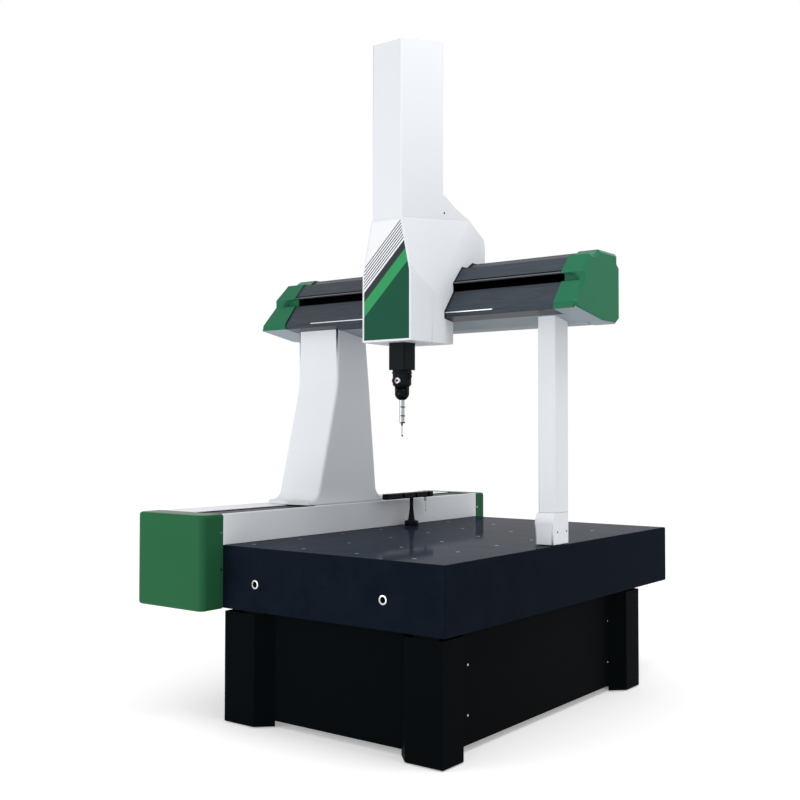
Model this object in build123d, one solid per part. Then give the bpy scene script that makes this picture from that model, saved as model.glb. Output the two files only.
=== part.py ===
from build123d import *
import os

# Bridge type coordinate measuring machine with an inclined beam.
# Millimetres. The layout is measured from the right front corner of the table:
# x grows to the right along the beam, y grows to the back along the guide,
# z is the height above the floor. The written parts are moved so that the
# origin lies on the floor under the middle of the whole machine.

# Table and its stand
table_height = 750.0
table_width = 1535.0
table_length = 1978.0
table_thickness = 267.0
table_edge = 4.0
stand_inset_left = 388.0
stand_inset_right = 17.0
stand_inset_front = 10.0
stand_length = 1677.0
stand_gap = 12.0
pad_height = 30.0
pad_side = 120.0
post_side = 100.0
rail_height = 100.0
foot_height = 45.0
foot_radius = 45.0
foot_stem_radius = 15.0
panel_thickness = 3.0
panel_floor_gap = 28.0
corner_floor_gap = 5.0
corner_width = 172.0
corner_depth = 138.0
panel_recess = 62.0

# Threaded inserts and lifting bushes of the table
insert_columns = 4
insert_rows = 6
insert_pitch_x = 285.0
insert_pitch_y = 296.0
insert_first_x = 212.0
insert_first_y = 102.0
insert_radius = 8.0
insert_bore_radius = 4.25
insert_depth = 25.0
bush_inset_right = 287.0
bush_spacing = 675.0
bush_drop = 152.0
bush_radius = 19.5
bush_bore_radius = 12.0
bush_depth = 70.0

# Guide of the bridge, on the left of the table
guide_inset = 35.0
guide_side_inset = 25.0
guide_width = 325.0
guide_height = 74.0
cover_height = 132.0
cover_wall = 4.0
cover_side_gap = 0.3
guide_cover_width = 385.0
inner_lip = 22.0
outer_lip = 195.0
strip_width = 120.0
strip_thickness = 2.0
scale_width = 20.0
scale_thickness = 2.0
drive_cover_width = 420.0
drive_cover_depth = 124.0
rear_cover_depth = 106.0
drive_cover_drop = 5.0
drive_cover_gap = 0.3
drive_cover_corner = 36.0
drive_cover_edge = 14.0
drive_cover_wall = 4.0
belt_width = 16.0
belt_thickness = 3.0
belt_height = 72.0
y_pulley_radius = 22.0
motor_radius = 40.0
motor_length = 130.0

# Where the bridge stands and how far it goes
base_front = 600.0
base_length = 591.0
base_thickness = 22.0
base_gap = 2.0
column_inset = 72.0
column_width = 262.0
column_front = 813.0
column_depth = 223.0
column_straight_to = 1460.0
column_back_lean = 30.0
column_foot_front = 668.0
column_foot_back = 1125.0
column_corner = 14.0
column_wall = 14.0
flare_radius = 60.0
bend_radius = 480.0
leg_right = 10.0
leg_width = 88.0
leg_front = 848.0
leg_depth = 116.0
leg_corner = 8.0
leg_top_wall = 20.0
shoe_front = 26.0
shoe_height = 134.0
shoe_wall = 5.0
shoe_gap = 4.0
shoe_seam = 1.5
shoe_sweep = 52.0
air_gap = 0.3
shaft_radius = 6.0
shaft_gap = 0.05
bearing_height = 28.0
bearing_radius = 34.0

# Beam and its covers
beam_right = 145.0
beam_overhang = 132.0
right_cap_length = 107.0
left_cap_length = 177.0
beam_bottom = 1712.0
beam_bottom_front = 989.0
beam_back = 1152.0
beam_core_front = 850.0
beam_core_top = 1985.0
beam_core_wall = 12.0
nose_y = 747.0
nose_bottom = 1750.0
nose_height = 25.0
groove_front = 822.0
groove_bottom = 1874.0
groove_height = 34.0
ledge_front = 885.0
ledge_height = 1987.0
ledge_back = 930.0
beam_top_front = 972.0
beam_top = 2016.0
beam_top_back = 1130.0
core_lip = 13.0
core_reach = 18.0
sheet = 3.0
sheet_gap = 0.15
cap_proud = 6.0
cap_wall = 4.0
cap_edge = 14.0
cap_seam = 0.3
scoop_length = 84.0
scoop_depth = 22.0
under_plate = 6.0
x_pulley_radius = 20.0
x_drive_reach = 92.0
x_idler_reach = 45.0
x_belt_inset = 22.0
x_belt_rise = 25.0
x_motor_inset = 12.0
x_motor_length = 120.0
x_motor_radius = 34.0
x_arm_width = 60.0

# Carriage, its housing and the tower
carriage_x = -662.0
housing_front = 505.0
housing_back = 1080.0
housing_back_top = 2110.0
housing_low_back = 811.0
housing_bottom = 1632.0
housing_half = 148.0
housing_front_half = 134.0
housing_front_crease = 1940.0
housing_waist_y = 661.0
housing_waist_z = 1846.0
housing_rear_edge_y = 1069.0
housing_rear_edge_z = 2145.0
seam_front_z = 2175.0
seam_slope = 0.12
seam_back_y = 1047.0
seam_gap = 0.3
hump_top = 2328.0
hump_bend_y = 925.0
hump_bend_z = 2280.0
tower_half = 84.0
tower_back = 832.0
tower_top_front = 2963.0
tower_top_rise = 80.0
tower_round = 12.0
tower_back_bevel = 30.0
shell = 4.0
beam_clearance = 7.0
seal_gap = 3.0
seal_depth = 5.0
hanger_front = 834.0
hanger_back = 842.0
ram_port_clearance = 6.0

# Ram
ram_y = 621.0
ram_side = 80.0
ram_wall = 8.0
ram_end_z = 1511.0
ram_cover_side = 88.0
ram_cover_height = 130.0
ram_top = 2750.0
ring_height = 60.0
ring_low_z = 1800.0
ring_high_z = 2120.0
ring_clearance = 0.3
ring_wall = 18.0
ring_reach = 60.0
block_height = 60.0
block_rise = 70.0
hanger_half = 110.0
x_bearing_pitch = 78.0
cheek_thickness = 12.0
cheek_top = 2942.0
cheek_front = 548.0
cheek_back = 735.0
bracket_z = 2600.0
bracket_height = 30.0
z_pulley_radius = 30.0
z_pulley_top = 2900.0
z_pulley_low = 2220.0
z_belt_y = 710.0
weight_bottom = 2185.0
weight_height = 180.0

# Probe head, probe and stylus
neck_radius = 46.0
neck_height = 16.0
spindle_radius = 12.0
head_radius = 42.0
head_height = 60.0
ball_radius = 32.5
ball_z = 1407.0
socket_gap = 0.8
flat_depth = 4.0
pin_radius = 4.0
probe_radius = 11.5
probe_length = 106.0
stylus_radius = 1.6
stylus_hub_radius = 5.0
stylus_tip_radius = 3.5
stylus_length = 59.0
stylus_travel = 4.0

# Screw heads
screw_radius = 5.0
screw_height = 1.2
cover_screw_inset = 12.0
cover_screw_rises = (168.0, 325.0)
panel_screw_front = 59.0
panel_screw_back = 12.0
panel_screw_low = 329.0
panel_screw_high = 135.0
shoe_screw_rise = 52.0
tower_screw_rise = 29.0
cap_screw_inset = 38.0

# Module rack on the table
rack_inset = 59.0
rack_front = 1055.0
rack_length = 386.0
rack_width = 40.0
rack_height = 28.0
rack_bottom = 892.0
rack_post_y = 1275.0
rack_post_radius = 10.0
rack_base_radius = 36.0
rack_base_height = 14.0
rack_ports = 3
port_radius = 9.0
port_pitch = 110.0
port_first = 40.0
module_radius = 8.0

# Places worked out from the sizes above
beam_left_x = -table_width - beam_overhang
beam_right_x = beam_right
cap_inner_right = beam_right - right_cap_length
cap_inner_left = beam_left_x + left_cap_length
guide_cover_right = -(table_width - guide_cover_width)
guide_right = guide_cover_right - guide_side_inset
guide_left = guide_right - guide_width
guide_top = table_height + guide_height
cover_top = table_height + cover_height
rack_x = guide_cover_right + rack_inset
drive_cover_right = guide_cover_right - drive_cover_gap
drive_cover_left = drive_cover_right - drive_cover_width
table_bottom = table_height - table_thickness
drive_cover_bottom = table_bottom - drive_cover_drop
stand_left = -(table_width - stand_inset_left)
stand_right = -stand_inset_right
stand_front = stand_inset_front
stand_back = stand_inset_front + stand_length
stand_top = table_bottom - stand_gap
frame_top = table_bottom - pad_height
base_bottom = cover_top + base_gap
base_top = base_bottom + base_thickness
column_left = -table_width + column_inset
column_right = column_left + column_width
cheek_inner = ram_side / 2 + ring_wall
block_low_z = ring_low_z + block_rise
column_mid_x = column_left + column_width / 2
column_back = column_front + column_depth
leg_left = -leg_right - leg_width
leg_back = leg_front + leg_depth
underside_slope = (nose_bottom - beam_bottom) / (beam_bottom_front - nose_y)
nose_top = nose_bottom + nose_height
groove_top = groove_bottom + groove_height
origin_x = (beam_right_x + beam_left_x) / 2
origin_y = (table_length + rear_cover_depth - drive_cover_depth) / 2
layout_shift = Location((-origin_x, -origin_y, 0))


def box(x0, x1, y0, y1, z0, z1):
    """A block between two corners."""
    middle = ((x0 + x1) / 2, (y0 + y1) / 2, (z0 + z1) / 2)
    return Pos(*middle) * Box(x1 - x0, y1 - y0, z1 - z0)


def along_x(points, x0, x1):
    """A profile of (y, z) points carried from x0 to x1."""
    profile = make_face(Polyline(*points, close=True))
    return extrude(Plane.YZ.offset(x0) * profile, amount=x1 - x0)


def along_y(points, y0, y1):
    """A profile of (x, z) points carried from y0 to y1."""
    profile = make_face(Polyline(*points, close=True))
    return extrude(Plane.XZ.offset(-y1) * profile, amount=y1 - y0)


def along_z(points, z0, z1):
    """A plan of (x, y) points carried from z0 to z1."""
    profile = make_face(Polyline(*points, close=True))
    return extrude(Plane.XY.offset(z0) * profile, amount=z1 - z0)


def rod_z(x, y, z0, z1, radius):
    """An upright round bar."""
    return Pos(x, y, (z0 + z1) / 2) * Cylinder(radius, z1 - z0)


def rod_x(x0, x1, y, z, radius):
    """A round bar along x."""
    return Pos((x0 + x1) / 2, y, z) * Rot(0, 90, 0) * Cylinder(radius, x1 - x0)


def rod_y(x, y0, y1, z, radius):
    """A round bar along y."""
    return Pos(x, (y0 + y1) / 2, z) * Rot(90, 0, 0) * Cylinder(radius, y1 - y0)


def fuse(pieces):
    """One solid from pieces that meet."""
    whole = pieces[0]
    for piece in pieces[1:]:
        whole = whole + piece
    return whole


def write(name, *pieces):
    """One STEP file for a node, moved to the machine's origin."""
    solids = []
    for piece in pieces:
        solids.extend((layout_shift * piece).solids())
    whole = solids[0] if len(solids) == 1 else Compound(children=solids)
    export_step(whole, os.path.join("parts", name + ".step"))


def underside(y):
    """Height of the beam's underside at a depth y."""
    if y >= beam_bottom_front:
        return beam_bottom
    return nose_bottom - underside_slope * (y - nose_y)


# Stand
def stand_corners():
    """The four corners as (x, y, x direction inwards, y direction inwards)."""
    return [
        (stand_left, stand_front, 1, 1),
        (stand_right, stand_front, -1, 1),
        (stand_left, stand_back, 1, -1),
        (stand_right, stand_back, -1, -1),
    ]


def post_centres():
    """Centres of the four square tubes behind the corner covers."""
    inset = panel_recess + panel_thickness + post_side / 2
    return [(x + dx * inset, y + dy * inset) for x, y, dx, dy in stand_corners()]


def stand_frame():
    """Four tube posts joined by tube rails above and below."""
    half = post_side / 2
    centres = post_centres()
    pieces = []
    for x, y in centres:
        pieces.append(box(x - half, x + half, y - half, y + half, foot_height, frame_top))
    xs = sorted({round(x, 6) for x, y in centres})
    ys = sorted({round(y, 6) for x, y in centres})
    for level in (frame_top - rail_height, foot_height):
        for y in ys:
            pieces.append(box(xs[0], xs[1], y - half, y + half, level, level + rail_height))
        for x in xs:
            pieces.append(box(x - half, x + half, ys[0], ys[1], level, level + rail_height))
    middle = (ys[0] + ys[1]) / 2
    pieces.append(box(xs[0], xs[1], middle - half, middle + half, frame_top - rail_height, frame_top))
    return fuse(pieces)


def levelling_feet():
    """A threaded stem and a round plate under each post."""
    feet = []
    for x, y in post_centres():
        plate = rod_z(x, y, 0, 14, foot_radius)
        plate = chamfer(plate.edges().group_by(Axis.Z)[-1], 4)
        feet.append(plate + rod_z(x, y, 14, foot_height, foot_stem_radius))
    return feet


def support_pads():
    """Elastic blocks that carry the table on the frame."""
    half = pad_side / 2
    return [box(x - half, x + half, y - half, y + half, frame_top, table_bottom) for x, y in post_centres()]


def corner_cover(x, y, dx, dy):
    """A folded sheet that wraps one corner of the stand."""
    turn = panel_recess
    t = panel_thickness
    bend = turn + corner_width
    side = turn + corner_depth
    outer = [
        (0, 0),
        (corner_width, 0),
        (bend, turn),
        (bend, turn + t),
        (bend - t * 0.5, turn + t),
        (corner_width - t * 0.5, t),
        (t, t),
        (t, corner_depth - t * 0.5),
        (turn + t, side - t * 0.5),
        (turn + t, side),
        (turn, side),
        (0, corner_depth),
    ]
    points = [(x + dx * px, y + dy * py) for px, py in outer]
    return along_z(points, corner_floor_gap, stand_top)


def stand_end_panels():
    """Front and rear panels between the corner covers."""
    t = panel_thickness
    left = stand_left + corner_width + panel_recess
    right = stand_right - corner_width - panel_recess
    front = stand_front + panel_recess
    back = stand_back - panel_recess
    return [
        box(left, right, front, front + t, panel_floor_gap, stand_top),
        box(left, right, back - t, back, panel_floor_gap, stand_top),
    ]


def stand_side_panels():
    """Left and right panels between the corner covers."""
    t = panel_thickness
    left = stand_left + panel_recess
    right = stand_right - panel_recess
    front = stand_front + corner_depth + panel_recess
    back = stand_back - corner_depth - panel_recess
    return [
        box(left, left + t, front, back, panel_floor_gap, stand_top),
        box(right - t, right, front, back, panel_floor_gap, stand_top),
    ]


# Table
def insert_places():
    """Centres of the threaded inserts on the table."""
    xs = [-insert_first_x - i * insert_pitch_x for i in range(insert_columns)]
    ys = [insert_first_y + j * insert_pitch_y for j in range(insert_rows)]
    return [(x, y) for x in xs for y in ys]


def bush_places():
    """Middle lines of the lifting bushes as (x, face y, direction inwards)."""
    xs = (-bush_inset_right, -bush_inset_right - bush_spacing)
    return [(x, y, d) for x in xs for y, d in ((0.0, 1), (table_length, -1))]


def granite_table():
    """The ground granite plate with its holes for inserts and bushes."""
    slab = box(-table_width, 0, 0, table_length, table_bottom, table_height)
    slab = chamfer(slab.edges(), table_edge)
    bush_z = table_height - bush_drop
    for x, y in insert_places():
        slab = slab - rod_z(x, y, table_height - insert_depth, table_height, insert_radius)
    for x, y, d in bush_places():
        ends = sorted((y, y + d * bush_depth))
        slab = slab - rod_y(x, ends[0], ends[1], bush_z, bush_radius)
    return slab


def table_inserts():
    """Steel inserts, level with the granite."""
    inserts = []
    for x, y in insert_places():
        body = rod_z(x, y, table_height - insert_depth, table_height, insert_radius)
        inserts.append(body - rod_z(x, y, table_height - insert_depth + 5, table_height, insert_bore_radius))
    return inserts


def lifting_bushes():
    """Steel bushes in the front and rear faces for the lifting bars."""
    bush_z = table_height - bush_drop
    bushes = []
    for x, y, d in bush_places():
        ends = sorted((y, y + d * bush_depth))
        bore = sorted((y, y + d * (bush_depth - 10)))
        body = rod_y(x, ends[0], ends[1], bush_z, bush_radius)
        bushes.append(body - rod_y(x, bore[0], bore[1], bush_z, bush_bore_radius))
    return bushes


# Guide of the bridge
def y_guide_rail():
    """The ground granite rail that carries the bridge."""
    rail = box(guide_left, guide_right, guide_inset, table_length - guide_inset, table_height, guide_top)
    return chamfer(rail.edges().filter_by(Axis.Y), 3)


def y_scale():
    """The graduated strip on the inner side of the rail."""
    z = table_height + guide_height / 2
    return box(guide_right, guide_right + scale_thickness, guide_inset, table_length - guide_inset,
               z - scale_width / 2, z + scale_width / 2)


def guide_inner_cover():
    """Upright white sheet beside the table with a lip over the rail."""
    x = guide_cover_right
    t = cover_wall
    points = [
        (x, table_height),
        (x, cover_top),
        (x - inner_lip, cover_top),
        (x - inner_lip, cover_top - t),
        (x - t, cover_top - t),
        (x - t, table_height),
    ]
    return along_y(points, 0, table_length)


def outer_lip_edge():
    """Right edge of the outer cover's lip."""
    return -table_width - cover_side_gap - cover_wall + outer_lip


def guide_outer_cover():
    """White sheet down the left side of the table with a wide lip over the rail."""
    x = -table_width - cover_side_gap
    t = cover_wall
    lip = outer_lip_edge()
    points = [
        (x - t, drive_cover_bottom + 6),
        (x - t, cover_top),
        (lip, cover_top),
        (lip, cover_top - t),
        (x, cover_top - t),
        (x, drive_cover_bottom + 6),
    ]
    return along_y(points, 0, table_length)


def strip_edges():
    """Left and right edges of the steel strip between the two lips."""
    middle = (outer_lip_edge() + guide_cover_right - inner_lip) / 2
    return middle - strip_width / 2, middle + strip_width / 2


def guide_strip():
    """The black steel band that keeps dust off the rail."""
    left, right = strip_edges()
    top = cover_top - cover_wall - 1
    band = box(left, right, 0, table_length, top - strip_thickness, top)
    front = box(left, right, 0, 12, guide_top + 8, top - strip_thickness)
    back = box(left, right, table_length - 12, table_length, guide_top + 8, top - strip_thickness)
    post_front = box(left, right, 0, guide_inset, table_height, guide_top + 8)
    post_back = box(left, right, table_length - guide_inset, table_length, table_height, guide_top + 8)
    return fuse([band, front, back, post_front, post_back])


def drive_cover_form(y0, y1, open_side, inset):
    """The rounded box of a drive cover, or with an inset the form of its inside."""
    x0 = drive_cover_left + inset
    x1 = drive_cover_right - inset
    z0 = drive_cover_bottom + inset
    z1 = cover_top - inset
    far = (y0 + inset, y1 + drive_cover_corner) if open_side > 0 else (y0 - drive_cover_corner, y1 - inset)
    form = box(x0, x1, far[0], far[1], z0, z1)
    form = fillet(form.edges().filter_by(Axis.Z), drive_cover_corner - inset)
    levels = form.edges().group_by(Axis.Z)
    form = fillet(levels[0] + levels[-1], drive_cover_edge - inset)
    return form & box(x0, x1, y0, y1, z0, z1)


def drive_cover(y0, y1, open_side):
    """A moulded box with rounded edges, open towards the guide."""
    outer = drive_cover_form(y0, y1, open_side, 0)
    return outer - drive_cover_form(y0, y1, open_side, drive_cover_wall)


def front_drive_cover():
    """Cover of the drive motor at the front of the guide."""
    y1 = -drive_cover_gap
    return drive_cover(y1 - drive_cover_depth, y1, 1)


def rear_drive_cover():
    """Cover of the idler at the back of the guide."""
    y0 = table_length + drive_cover_gap
    return drive_cover(y0, y0 + rear_cover_depth, -1)


def y_belt_line():
    """Middle of the belt loop as (x0, x1, z, front y, back y)."""
    x1 = guide_left - 6.0
    z = table_height + belt_height
    front = -drive_cover_gap - drive_cover_depth / 2
    return x1 - belt_width, x1, z, front, table_length + rear_cover_depth / 2


def belt_loop_yz(x0, x1, y0, y1, z, radius):
    """A flat belt in the yz plane around two pulleys."""
    t = belt_thickness
    outer = box(x0, x1, y0, y1, z - radius - t, z + radius + t)
    outer = outer + rod_x(x0, x1, y0, z, radius + t) + rod_x(x0, x1, y1, z, radius + t)
    inner = box(x0, x1, y0, y1, z - radius, z + radius)
    inner = inner + rod_x(x0, x1, y0, z, radius) + rod_x(x0, x1, y1, z, radius)
    return outer - inner


def y_drive_belt():
    """Toothed belt that pulls the bridge."""
    x0, x1, z, y0, y1 = y_belt_line()
    return belt_loop_yz(x0, x1, y0, y1, z, y_pulley_radius + air_gap)


def y_drive_pulley():
    """Pulley on the motor shaft."""
    x0, x1, z, y0, y1 = y_belt_line()
    return rod_x(x0, x1, y0, z, y_pulley_radius) - rod_x(x0, x1, y0, z, shaft_radius + shaft_gap)


def y_idler():
    """Idler wheel on its pin and bracket at the back."""
    x0, x1, z, y0, y1 = y_belt_line()
    wheel = rod_x(x0, x1, y1, z, y_pulley_radius)
    pin = rod_x(x0, guide_left + 30, y1, z, shaft_radius)
    arm = box(guide_left, guide_left + 14, table_length - guide_inset, y1 + 14, z - 14, z + 14)
    return fuse([wheel, pin, arm])


def y_drive_motor():
    """Servo motor with its shaft, on a bracket bolted to the table."""
    x0, x1, z, y0, y1 = y_belt_line()
    front = x1 + 14
    case_z = cover_top - shell - 6 - motor_radius
    body = rod_x(front, front + motor_length, y0, z, motor_radius)
    shaft = rod_x(x0, front, y0, z, shaft_radius)
    arm = box(front + 10, front + 34, y0, 0, table_height - 60, case_z)
    return fuse([body, shaft, arm])


# Bridge
def column_profile():
    """Side view of the column and its base plate as (y, z) points."""
    back_foot = base_front + base_length
    return [
        (base_front, base_bottom),
        (base_front, base_top),
        (column_foot_front, base_top),
        (column_front, column_straight_to),
        (column_front, underside(column_front)),
        (beam_bottom_front, beam_bottom),
        (column_back, beam_bottom),
        (column_back + column_back_lean, column_straight_to),
        (column_foot_back, base_top),
        (back_foot, base_top),
        (back_foot, base_bottom),
    ]


def column():
    """The cast left column, wider at the foot, hollow inside, with its base plate."""
    profile = make_face(Polyline(*column_profile(), close=True))
    feet = [v for v in profile.vertices() if abs(v.Y - base_top) < 0.1
            and min(abs(v.X - column_foot_front), abs(v.X - column_foot_back)) < 0.1]
    profile = fillet(feet, flare_radius)
    bends = [v for v in profile.vertices() if abs(v.Y - column_straight_to) < 0.1]
    profile = fillet(bends, bend_radius)
    body = extrude(Plane.YZ.offset(column_left) * profile, amount=column_width)
    upright = [e for e in body.edges() if e.center().Z > base_top + 1
               and abs(abs(e.center().X - column_mid_x) - column_width / 2) < 0.1
               and e.center().Z < beam_bottom - 1]
    body = fillet(upright, column_corner)
    wall = column_wall
    inside = [
        (column_foot_front + 3 * wall, base_top),
        (column_front + wall, column_straight_to),
        (column_front + wall, underside(column_front) - wall),
        (beam_bottom_front, beam_bottom - wall),
        (column_back - wall, beam_bottom - wall),
        (column_back + column_back_lean - wall, column_straight_to),
        (column_foot_back - 3 * wall, base_top),
    ]
    return body - along_x(inside, column_left + wall, column_right - wall)


def y_saddle():
    """Slide under the base plate, with its belt clamp and the read head of the scale."""
    left, right = strip_edges()
    bottom = guide_top + air_gap + bearing_height
    top = cover_top - cover_wall - 1 - strip_thickness - 3
    y0 = base_front + 12
    y1 = base_front + base_length - 12
    pieces = [box(guide_left + 8, guide_cover_right - 12, y0, y1, bottom, top)]
    gap_right = guide_cover_right - inner_lip
    for x0, x1 in ((outer_lip_edge() + 3, left - 3), (right + 3, gap_right - 3)):
        pieces.append(box(x0, x1, y0 + 20, y1 - 20, top, base_bottom))
    belt_left, belt_right, belt_z, belt_y0, belt_y1 = y_belt_line()
    mid = base_front + base_length / 2
    run = belt_z + y_pulley_radius + air_gap + belt_thickness
    pieces.append(box(belt_left, guide_left + 8, mid - 30, mid + 30, run, bottom + 8))
    scale_z = table_height + guide_height / 2
    pieces.append(box(guide_right + scale_thickness + 0.8, guide_cover_right - 12, mid - 20, mid + 20,
                      scale_z - 12, bottom))
    return fuse(pieces)


def y_air_bearings():
    """Round pads that float on the top of the rail."""
    pads = []
    for x in (guide_left + 60, guide_right - 50):
        for y in (base_front + 70, base_front + base_length - 70):
            low = guide_top + air_gap
            pads.append(rod_z(x, y, low, low + bearing_height, bearing_radius))
    return pads


def shoe_top():
    """Height where the cover of the foot ends on the leg."""
    return table_height + shoe_gap + shoe_height


def right_leg():
    """The slim right leg, a square tube with soft corners and a narrower foot."""
    body = box(leg_left, -leg_right, leg_front, leg_back, shoe_top() + shoe_seam, nose_bottom)
    body = fillet(body.edges().filter_by(Axis.Z), leg_corner)
    cut = [
        (leg_front - 1, underside(leg_front - 1)),
        (beam_bottom_front, underside(beam_bottom_front)),
        (beam_bottom_front, nose_bottom + 10),
        (leg_front - 1, nose_bottom + 10),
    ]
    body = body - along_x(cut, leg_left - 1, -leg_right + 1)
    wall = shoe_wall + air_gap
    foot_low = table_height + air_gap + bearing_height + 12
    foot = box(leg_left + wall, -leg_right - wall, leg_front + wall, leg_back - wall, foot_low,
               shoe_top() + shoe_seam)
    bore = box(leg_left + 2 * wall, -leg_right - 2 * wall, leg_front + 2 * wall, leg_back - 2 * wall,
               foot_low + 20, underside(leg_back) - leg_top_wall)
    return body + foot - bore


def shoe_profile(inset):
    """Side view of the foot cover, or with an inset of its inside: the front sweeps out in a hollow curve."""
    low = table_height + shoe_gap
    high = shoe_top()
    y0 = leg_front - shoe_front + inset
    y1 = leg_back - inset
    start = high - shoe_sweep
    bow = (y0 + shoe_front * 0.22, start + shoe_sweep * 0.62)
    outline = Polyline((leg_front + inset, high), (y1, high), (y1, low), (y0, low), (y0, start))
    return make_face(outline + ThreePointArc((y0, start), bow, (leg_front + inset, high)))


def leg_shoe():
    """Cover around the foot of the right leg, open below."""
    outer = extrude(Plane.YZ.offset(leg_left) * shoe_profile(0), amount=leg_width)
    upright = [e for e in outer.edges().filter_by(Axis.Z)]
    outer = fillet(upright, leg_corner)
    t = shoe_wall
    inner = extrude(Plane.YZ.offset(leg_left + t) * shoe_profile(t), amount=leg_width - 2 * t)
    return outer - inner


def leg_air_bearing():
    """Pad that floats on the table, with its ball stud."""
    x = leg_left + leg_width / 2
    y = (leg_front + leg_back) / 2
    low = table_height + air_gap
    pad = rod_z(x, y, low, low + bearing_height, bearing_radius)
    return pad + rod_z(x, y, low + bearing_height, low + bearing_height + 12, 12)


def beam_outline():
    """Outer profile of the covered beam as (y, z) points, from the nose round the top."""
    return [
        (nose_y, nose_bottom),
        (nose_y, nose_top),
        (groove_front, groove_bottom),
        (groove_front - 7, groove_top),
        (ledge_front, ledge_height),
        (ledge_back, ledge_height + 2),
        (beam_top_front, beam_top),
        (beam_top_back, beam_top),
        (beam_top_back, beam_top - 38),
        (beam_back, beam_top - 54),
        (beam_back, beam_bottom + 22),
        (beam_back - 36, beam_bottom - 2),
        (beam_bottom_front, beam_bottom),
    ]


def core_outline():
    """Profile of the load bearing beam inside its covers."""
    front = beam_core_front
    lip = front - core_lip
    side = beam_top_back - 2 * sheet - 2
    back = beam_back - sheet
    return [
        (lip, underside(lip)),
        (lip, underside(lip) + core_lip),
        (front, underside(front) + core_lip),
        (front, groove_bottom - 20),
        (ledge_front + 30, ledge_height - 60),
        (beam_top_front + 20, beam_core_top),
        (side, beam_core_top),
        (side, beam_top - 44),
        (back, beam_top - 60),
        (back, beam_bottom + 24),
        (beam_back - 36, beam_bottom),
        (beam_bottom_front, beam_bottom),
    ]


def underside_plate(x0, x1):
    """Aluminium plate that closes the underside of a cap, flush with the beam."""
    front = nose_y
    back = beam_back - 36
    t = under_plate
    points = [
        (front, underside(front)),
        (beam_bottom_front, beam_bottom),
        (back, beam_bottom),
        (back, beam_bottom + t),
        (beam_bottom_front, beam_bottom + t),
        (front, underside(front) + t),
    ]
    return along_x(points, x0, x1)


def beam():
    """The hollow inclined beam with an inner rib, closed ends and the plates under its caps."""
    x0 = cap_inner_left - core_reach
    x1 = cap_inner_right + core_reach
    core = make_face(Polyline(*core_outline(), close=True))
    hollow = offset(core, amount=-beam_core_wall, kind=Kind.INTERSECTION)
    rib_y = (beam_core_front + beam_back) / 2
    rib = Rectangle(beam_core_wall, beam_core_top - beam_bottom)
    rib = Pos(rib_y, (beam_bottom + beam_core_top) / 2) * rib
    body = extrude(Plane.YZ.offset(x0) * core, amount=x1 - x0)
    body = body - extrude(Plane.YZ.offset(x0 + 10) * (hollow - rib), amount=x1 - x0 - 20)
    left = underside_plate(beam_left_x + cap_wall + cap_seam, cap_inner_left - cap_seam)
    right = underside_plate(cap_inner_right + cap_seam, beam_right_x - cap_wall - cap_seam)
    return fuse([body, left, right])


def sheet_profile(points, x0, x1):
    """A bent sheet: a line of (y, z) points given the sheet's thickness inwards."""
    line = Polyline(*points)
    return extrude(Plane.YZ.offset(x0) * trace(line, sheet), amount=x1 - x0)


def beam_lower_cover():
    """Dark folded cover over the nose of the beam."""
    h = sheet / 2 + sheet_gap
    slope = (groove_bottom - nose_top) / (groove_front - nose_y)
    end = beam_core_front - core_lip - 2
    points = [
        (end, underside(end) + h),
        (nose_y + h, underside(nose_y + h) + h),
        (nose_y + h, nose_top - h),
        (groove_front, nose_top - h + slope * (groove_front - nose_y - h)),
        (groove_front + 4, groove_bottom - 2),
    ]
    return sheet_profile(points, cap_inner_left, cap_inner_right)


def beam_upper_cover():
    """Dark folded cover over the top of the beam, with a lip along the groove."""
    h = sheet / 2
    points = [
        (groove_front + 10, groove_top + h),
        (groove_front - 6, groove_top + h),
        (ledge_front, ledge_height - h),
        (ledge_back, ledge_height + 2 - h),
        (beam_top_front, beam_top - h),
        (beam_top_back - h, beam_top - h),
        (beam_top_back - h, beam_top - 40),
    ]
    return sheet_profile(points, cap_inner_left, cap_inner_right)


def scoop_form(x0, x1, closed_at_right, grow):
    """The pocket that ends the beam's groove inside a cap, with a curved upper rim."""
    start = x0 if closed_at_right else x1
    way = 1 if closed_at_right else -1
    low = groove_bottom - grow
    high = groove_top + grow
    tip = start + way * (scoop_length + grow)
    bend = start + way * scoop_length * 0.45
    near = start - way
    rim = ThreePointArc((bend, high), (bend + (tip - bend) * 0.72, high - (high - low) * 0.3), (tip, low))
    outline = Polyline((tip, low), (near, low), (near, high), (bend, high))
    profile = make_face(outline + rim)
    back = groove_front + scoop_depth + grow
    reach = scoop_depth + grow + 3 * cap_proud
    return extrude(Plane.XZ.offset(-back) * profile, amount=reach)


def cap_form(x0, x1, closed_at_right, inset):
    """The outer form of a cap, or with an inset the form of its inside."""
    profile = make_face(Polyline(*beam_outline(), close=True))
    face = offset(profile, amount=cap_proud - inset, kind=Kind.INTERSECTION)
    ends = (x0, x1 - inset) if closed_at_right else (x0 + inset, x1)
    form = extrude(Plane.YZ.offset(ends[0]) * face, amount=ends[1] - ends[0])
    end = form.faces().sort_by(Axis.X)[-1 if closed_at_right else 0]
    return chamfer(end.edges(), cap_edge - 0.6 * inset)


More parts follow.
